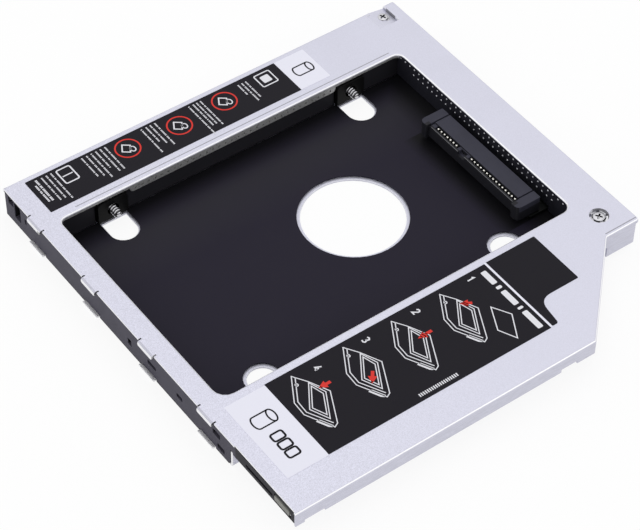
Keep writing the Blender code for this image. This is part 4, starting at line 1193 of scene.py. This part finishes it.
@dataclass
class CoverScrew:
    """Cover screw: low domed head on a flange, with a cross recess."""

    node: str
    name: str
    finish: Finish
    gap: Finish
    turn: float
    dome: float
    head: float = 0.7 * MM
    shank: float = 0.8 * MM
    flange: float = 0.22 * MM
    arm: float = 1.05 * MM
    slot: float = 0.52 * MM
    depth: float = 0.5 * MM
    taper: float = 0.45
    swell: float = 1.02
    sides: int = 48
    groove: Span = mm(-0.01, 0.16)
    groove_turn: float = 62.0

    def build(self, shop: Shop) -> None:
        """Turn the head and shank and press the cross into the head."""
        low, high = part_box(self.node)
        middle = (low + high) / 2
        radius = (high.x - low.x) / 2 * self.swell
        top = high.z - low.z
        seat, crown = top - self.head, radius * self.dome
        rim = seat + self.flange
        profile = (
            (self.shank - 0.2 * MM, 0.0),
            (self.shank, 0.2 * MM),
            (self.shank, seat),
            (radius - 0.05 * MM, seat),
            (radius, seat + 0.02 * MM),
            (radius, rim - 0.1 * MM),
            (radius - 0.1 * MM, rim),
            (crown + 0.22 * MM, rim),
            (crown + 0.2 * MM, seat + 0.08 * MM),
            (crown + 0.05 * MM, seat + 0.08 * MM),
            (crown + 0.02 * MM, rim),
            (crown, top - 0.16 * MM),
            (crown * 0.8, top - 0.04 * MM),
            (crown * 0.45, top),
        )
        loops = ([(x, y, z) for x, y in oval(0, 0, reach, reach, self.sides)] for reach, z in profile)
        holder = add(self.name, skinned(*loops, smooth=True))
        cutter = cut(holder, self._cross(middle, high.z))
        ease(holder, 0.03 * MM, 40)
        holder.location = (middle.x, middle.y, low.z)
        mesh = baked(holder, cutter)
        piece = shop.deliver(self.name, mesh, self.finish, self.node)
        # The cross recess and part of the groove take a painted shade.
        shop.shade_faces(piece, self.gap, self._painted_shade_faces(mesh, middle, high.z, crown))

    def _painted_shade_faces(self, mesh: Mesh, middle: Vector, top: float, crown: float) -> list[int]:
        """Faces in the cross recess and in parts of the groove round the dome, which take a painted shade.
        """
        chosen = []
        for face in mesh.polygons:
            out = Vector((face.center.x - middle.x, face.center.y - middle.y))
            drop = top - face.center.z
            recess = 0.2 * MM < out.length < self.arm and drop > 0.07 * MM
            quarter = math.degrees(math.atan2(out.y, out.x)) % 90
            groove = self.groove[0] < out.length - crown < self.groove[1] and quarter < self.groove_turn
            if recess or (groove and drop > 0.2 * MM):
                chosen.append(face.index)
        return chosen

    def _cross(self, middle: Vector, top: float) -> Mesh:
        """Tapered cross that cuts the recess."""
        half = self.slot / 2
        outline = []
        for quarter in range(4):
            angle = quarter * math.pi / 2 + self.turn
            along = Vector((math.cos(angle), math.sin(angle)))
            across = Vector((-along.y, along.x)) * half
            outline += [along * half - across, along * self.arm - across, along * self.arm + across]
        levels = ((self.taper, top - self.depth), (1.0, top + 0.05 * MM))
        return skinned(
            *([(middle.x + p.x * share, middle.y + p.y * share, z) for p in outline] for share, z in levels)
        )


@dataclass
class LockWasher:
    """Toothed washer that fills a cover screw's round seat."""

    screw: str
    name: str
    finish: Finish
    inner: float = 1.9 * MM
    outer: float = 2.42 * MM
    low: float = 1.2 * MM
    high: float = 0.5 * MM
    rise: float = 0.25 * MM
    teeth: int = 5
    share: float = 0.72
    turn: float = math.radians(12)
    steps: int = 8
    round: float = 0.06 * MM

    def build(self, shop: Shop, plate: float) -> None:
        """Model each tooth as a bent block with eased edges."""
        middle = sum(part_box(self.screw), Vector()) / 2
        shape = bmesh.new()
        for tooth in range(self.teeth):
            loft(shape, self._tooth(middle, plate, self.turn + 2 * math.pi * tooth / self.teeth))
        holder = add(self.name, to_mesh(shape))
        ease(holder, self.round, 40, 2)
        shop.deliver(self.name, baked(holder), self.finish)

    def _tooth(self, middle: Vector, plate: float, start: float) -> list[list[Vector]]:
        """Sections of one tooth, which rises towards one end."""
        sweep = 2 * math.pi / self.teeth * self.share
        rows = []
        for step in range(self.steps + 1):
            turn = start + sweep * step / self.steps
            out = Vector((math.cos(turn), math.sin(turn), 0))
            top = plate - self.high - self.rise * (1 - step / self.steps)
            section = block(self.inner, plate - self.low, self.outer, top)
            axis = Vector((middle.x, middle.y, 0))
            rows.append([axis + out * radius + Vector((0, 0, height)) for radius, height in section])
        return rows


@dataclass
class SeatRamp:
    """Pressed ramp in the cover's corner seat; it falls from the plate towards the rear."""

    finish: Finish
    plan: Points = (
        (-62.9, 52.75), (-56.3, 52.75), (-57.85, 59.5), (-63.9, 59.5), (-63.9, 54.3), (-62.9, 54.3)
    )
    drops: Span = (0.03, 1.1)
    floor_drop: float = 1.22

    def build(self, shop: Shop, plate: float) -> None:
        """Model the ramp under the plate's height, in metres."""
        start, end = self.plan[0][1], self.plan[2][1]
        near, far = self.drops
        lower = [(x * MM, y * MM, plate - self.floor_drop * MM) for x, y in self.plan]
        falls = [near + (far - near) * (y - start) / (end - start) for _, y in self.plan]
        upper = [(x, y, plate - fall * MM) for (x, y, _), fall in zip(lower, falls)]
        shop.deliver("cover_seat_ramp", skinned(lower, upper), self.finish)


@dataclass
class LocatingScrew:
    """Threaded locating screw that stands out of a block into the bay."""

    node: str
    name: str
    finish: Finish
    gap: Finish
    pitch: float = 0.85 * MM
    thread: float = 0.34 * MM
    point: float = 0.4 * MM
    point_slope: float = 0.9
    root_share: float = 0.55
    slim: float = 0.84
    short: float = 1.1 * MM
    sides: int = 32
    rings: int = 12

    def build(self, shop: Shop) -> None:
        """Model the thread as rings whose radius follows the helix."""
        low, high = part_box(self.node)
        radius = (high.z - low.z) / 2 * self.slim
        length = high.x - low.x - self.short
        middle = (low + high) / 2
        count = int(length / self.pitch * self.rings)
        places = (length * ring / count for ring in range(count + 1))
        loops = [self._ring(middle, low.x + along, radius, along, length - along) for along in places]
        piece = shop.deliver(self.name, skinned(*loops, smooth=True), self.finish, self.node)
        # The thread roots take a painted shade.
        roots = []
        for face in piece.data.polygons:
            out = Vector((face.center.y - middle.y, face.center.z - middle.z)).length
            inner = out < radius - self.root_share * self.thread
            if inner and face.center.x < low.x + length - 0.1 * MM:
                roots.append(face.index)
        shop.shade_faces(piece, self.gap, roots)

    def _ring(self, middle: Vector, x: float, radius: float, along: float, left: float) -> list[Any]:
        """One ring of the thread, some way along the screw and with some length left."""
        ring = []
        for side in range(self.sides):
            turn = 2 * math.pi * side / self.sides
            crest = 1 - abs(2 * ((along / self.pitch - side / self.sides) % 1.0) - 1)
            reach = radius - self.thread * (1 - crest)
            reach -= max(0.0, self.point - left) * self.point_slope
            ring.append((x, middle.y + reach * math.cos(turn), middle.z + reach * math.sin(turn)))
        return ring


@dataclass
class SpringContacts:
    """The receptacle's spring contacts, each a strip with a rounded, folded tip."""

    finish: Finish
    strip: float = 0.2 * MM
    fold: float = 0.24 * MM
    bend: float = 0.5 * MM
    heel: float = 0.35 * MM
    lean: float = 0.05 * MM
    shoulders: Span = mm(1.5, 0.75)
    tip: float = 0.25 * MM
    steps: int = 6

    def build(self, shop: Shop, names: Sequence[str]) -> None:
        """Bend one strip for every contact's node."""
        for name in names:
            low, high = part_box(name)
            path = self._path(low, high)
            rows = [
                [(low.x, *near), (high.x, *near), (high.x, *far), (low.x, *far)]
                for near, far in zip(path, beside(path, -self.strip, False))
            ]
            mesh = skinned(*rows, smooth=True)
            shop.deliver(name.replace("contact", "spring"), mesh, self.finish, name)

    def _path(self, low: Vector, high: Vector) -> list[Point]:
        """Outer side of the strip, from the end of its tail to its folded tip."""
        heel, bend, fold = low.y + self.heel, self.bend, self.fold
        lower, upper = (high.z - drop for drop in self.shoulders)
        deep, up = low.y + self.lean + fold, high.z - fold
        return [
            (high.y, low.z),
            *arc((heel + bend, low.z + bend), (bend, bend), (-0.5, -1), self.steps),
            (heel, lower),
            (low.y + self.lean, upper),
            *arc((deep, up), (fold, fold), (1, 0), self.steps),
            (deep + fold, up - self.tip),
        ]


@dataclass
class Dimples:
    """Bright dimples of the sheet behind, which fill the holes of the rear wall's film.

    Each row is how far its first and last hole lie from the wall's ends, and its drop from the top.
    """

    finish: Finish
    name: str = "rear_wall_dimples"
    rows: tuple[tuple[float, ...], ...] = (mm(1.4, 2.5, 0.6), mm(7.2, 6.1, 2.6))
    pitch: float = 2 * MM
    radius: float = 0.24 * MM
    crown: float = 0.6
    proud: Span = mm(0.02, 0.1)
    sides: int = 10

    def build(self, shop: Shop) -> None:
        """Set a dimple in each hole of both rows."""
        low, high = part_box("rear_wall_strip")
        rim, crown = (low.y - proud for proud in self.proud)
        levels = ((self.radius, high.y), (self.radius, rim), (self.radius * self.crown, crown))
        shape = bmesh.new()
        for left, right, drop in self.rows:
            start, end = low.x + left, high.x - right
            for number in range(int((end - start) / self.pitch + 0.001) + 1):
                x = start + self.pitch * number
                ovals = ((y, oval(x, high.z - drop, reach, reach, self.sides)) for reach, y in levels)
                loft(shape, [[(px, y, pz) for px, pz in points] for y, points in ovals])
        shop.deliver(self.name, to_mesh(shape, smooth=True), self.finish)


@dataclass
class CarriedNodes:
    """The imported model's own pieces, each with its finish."""

    finishes: Finishes
    groups: tuple[tuple[str, str], ...] = (
        ("top_cover", "sheet"),
        ("bottom_pan", "sheet"),
        ("chassis", "frame"),
        ("bay_liner", "liner"),
        ("rear_wall_strip", "strip"),
        ("locating_block", "black"),
        ("host_plug", "black"),
        ("drive_receptacle", "connector"),
        ("contact", "contact"),
        ("screw", "steel"),
        ("adapter_board", "board"),
        ("wing_end_cap", "cap"),
    )

    def dress(self, shop: Shop, nodes: dict[str, Object]) -> None:
        """Give every node the finish of its group.

        Args:
            shop: where materials are made.
            nodes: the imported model's nodes by name.
        """
        for name, node in nodes.items():
            shop.dress(node, self._finish_of(name))

    def _finish_of(self, name: str) -> Finish:
        """Finish of one node."""
        for word, finish in self.groups:
            if word in name:
                return getattr(self.finishes, finish)
        raise ValueError(f"{name} has no finish")


@dataclass(frozen=True)
class Lamp:
    """An area lamp that points at the caddy."""

    name: str
    place: Place
    power: float
    wide: float
    high: float

    def hang(self) -> None:
        """Add the lamp to the scene."""
        data = bpy.data.lights.new(self.name, "AREA")
        data.shape = "RECTANGLE"
        data.energy = self.power
        data.size, data.size_y = self.wide, self.high
        holder = add(self.name, data)
        holder.location = self.place
        holder.rotation_euler = (-holder.location).to_track_quat("-Z", "Y").to_euler()


@dataclass
class Studio:
    """Camera, lamps, world and floor."""

    eye: Place = (0.32706, -0.25402, 0.44320)
    right: Place = (0.59054, 0.80694, 0.01091)
    down: Place = (0.59581, -0.42683, -0.68031)
    lens: float = 134.06
    sensor: float = 36.0
    clip: Span = (0.01, 20.0)
    floor_size: float = 3.0
    floor_level: float = -0.02 * MM
    floor_colour: float = 0.95
    floor_roughness: float = 0.9
    floor_glow: float = 0.88
    world_level: float = 0.85
    lamps: tuple[Lamp, ...] = (
        Lamp("key", (-0.25, 0.15, 0.9), 1.1, 0.9, 0.9),
        Lamp("side_strip", (0.51, 0.29, 0.38), 0.25, 0.3, 0.06),
        Lamp("front_strip", (-0.38, -0.51, 0.29), 0.25, 0.3, 0.06),
    )

    def set_camera(self) -> None:
        """Set the camera at the photograph's viewpoint."""
        camera = bpy.data.cameras.new("camera")
        camera.lens = self.lens
        camera.sensor_width = self.sensor
        camera.clip_start, camera.clip_end = self.clip
        right = Vector(self.right).normalized()
        back = right.cross(-Vector(self.down).normalized()).normalized()
        turn = Matrix((right, back.cross(right), back)).transposed()
        holder = add("camera", camera)
        holder.matrix_world = Matrix.Translation(self.eye) @ turn.to_4x4()
        bpy.context.scene.camera = holder

    @staticmethod
    def _seen(graph: Graph) -> Value:
        """1 for camera, glossy and transmission rays, and 0 for the light on the object."""
        rays = ("Is Camera Ray", "Is Glossy Ray", "Is Transmission Ray")
        return graph.most(*(graph.node("ShaderNodeLightPath", output=ray) for ray in rays))

    def light_world(self) -> None:
        """Light the world evenly, and show it white to the camera and in reflections."""
        world = bpy.data.worlds.new("studio")
        bpy.context.scene.world = world
        graph = Graph(world)
        light = graph.tree.nodes["Background"]
        graph.feed(light.inputs["Color"], WHITE)
        graph.feed(light.inputs["Strength"], self.world_level)
        bare = graph.node("ShaderNodeBackground", {}, {"Color": WHITE, "Strength": 1.0})
        sockets = {0: self._seen(graph), 1: Value(graph, light.outputs[0]), 2: bare}
        blend = graph.node("ShaderNodeMixShader", {}, sockets)
        graph.feed(graph.tree.nodes["World Output"].inputs["Surface"], blend)

    def lay_floor(self) -> None:
        """Lay the white floor under the caddy; it keeps the caddy's shadow, and is clear from below."""
        half = self.floor_size / 2
        mesh = bpy.data.meshes.new("floor")
        mesh.from_pydata([(x, y, 0) for x, y in block(-half, -half, half, half)], [], [(0, 1, 2, 3)])
        floor = add("floor", mesh)
        floor.location.z = self.floor_level
        material = bpy.data.materials.new("floor")
        graph = Graph(material)
        graph.give({"Base Color": (self.floor_colour,) * 3 + (1,), "Roughness": self.floor_roughness})
        graph.give({"Specular IOR Level": 0.0})
        share = self._seen(graph) * self.floor_glow
        white = graph.node("ShaderNodeEmission", {}, {"Color": WHITE, "Strength": 1.0})
        lit = Value(graph, graph.shader.outputs[0])
        blend = graph.node("ShaderNodeMixShader", {}, {0: share, 1: lit, 2: white})
        under = graph.node("ShaderNodeNewGeometry", output="Backfacing")
        clear = graph.node("ShaderNodeBsdfTransparent")
        surface = graph.node("ShaderNodeMixShader", {}, {0: under, 1: blend, 2: clear})
        graph.feed(graph.tree.nodes["Material Output"].inputs["Surface"], surface)
        mesh.materials.append(material)

    def build(self) -> None:
        """Build the whole studio."""
        self.set_camera()
        for lamp in self.lamps:
            lamp.hang()
        self.light_world()
        self.lay_floor()
        bpy.context.scene.view_settings.view_transform = "Standard"


def openings() -> tuple[tuple[Vector, Vector], ...]:
    """Boxes cut out of the cover: beside its corner seat, and along the wing's front."""
    low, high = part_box("rear_left_screw")
    seat_low = Vector((low.x, low.y, high.z)) - Vector(mm(3.2, 0.72, 0.98))
    seat_high = Vector((low.x, high.y, high.z)) + Vector(mm(-0.46, 0.72, 2))
    return (seat_low, seat_high), (Vector(mm(39.6, -63.4, 8.6)), Vector(mm(63.3, -62.15, 9.8)))


def build_caddy(shop: Shop, finishes: Finishes, nodes: dict[str, Object]) -> None:
    """Build every sub-assembly in order.

    Args:
        shop: where materials and pieces are made.
        finishes: every finish.
        nodes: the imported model's nodes by name.
    """
    CarriedNodes(finishes).dress(shop, nodes)
    for eased in (
        EasedNode("top_cover", "cover_sheet", finishes.sheet, 0.05 * MM, openings(), SetBack()),
        EasedNode("bottom_pan", "pan_sheet", finishes.pan, 0.05 * MM),
        EasedNode("chassis", "frame_moulding", finishes.frame, 0.08 * MM),
        EasedNode("drive_receptacle", "receptacle_moulding", finishes.connector, 0.08 * MM),
        EasedNode("front_locating_block", "front_block_moulding", finishes.black, 0.1 * MM),
        EasedNode("rear_locating_block", "rear_block_moulding", finishes.black, 0.1 * MM),
        EasedNode("wing_end_cap", "cap_moulding", finishes.cap, 0.06 * MM),
    ):
        eased.build(shop, nodes)
    metals, threads = (finishes.steel, finishes.gap), (finishes.steel, finishes.root)
    for screw in (
        CoverScrew("rear_left_screw", "rear_left_cross_screw", *metals, math.radians(20), 0.7),
        CoverScrew("rear_right_screw", "rear_right_cross_screw", *metals, math.radians(35), 0.8),
        LocatingScrew("front_locating_screw", "front_threaded_screw", *threads),
        LocatingScrew("rear_locating_screw", "rear_threaded_screw", *threads),
    ):
        screw.build(shop)
    names = sorted(name for name in nodes if name.startswith(("signal_contact", "power_contact")))
    SpringContacts(finishes.contact).build(shop, names)
    Dimples(finishes.dimple).build(shop)
    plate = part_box("top_cover")[1].z
    SeatRamp(finishes.pan).build(shop, plate)
    LockWasher("rear_right_screw", "rear_right_lock_washer", finishes.steel).build(shop, plate)
    StripLabel(shop, finishes, plate).build()
    StepsLabel(shop, finishes, plate).build()


def main() -> None:
    """Build the caddy and its studio."""
    logging.basicConfig(level=logging.INFO)
    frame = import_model()
    build_caddy(Shop(), Finishes(), frame["nodes"])
    Studio().build()


if __name__ == "__main__":
    main()
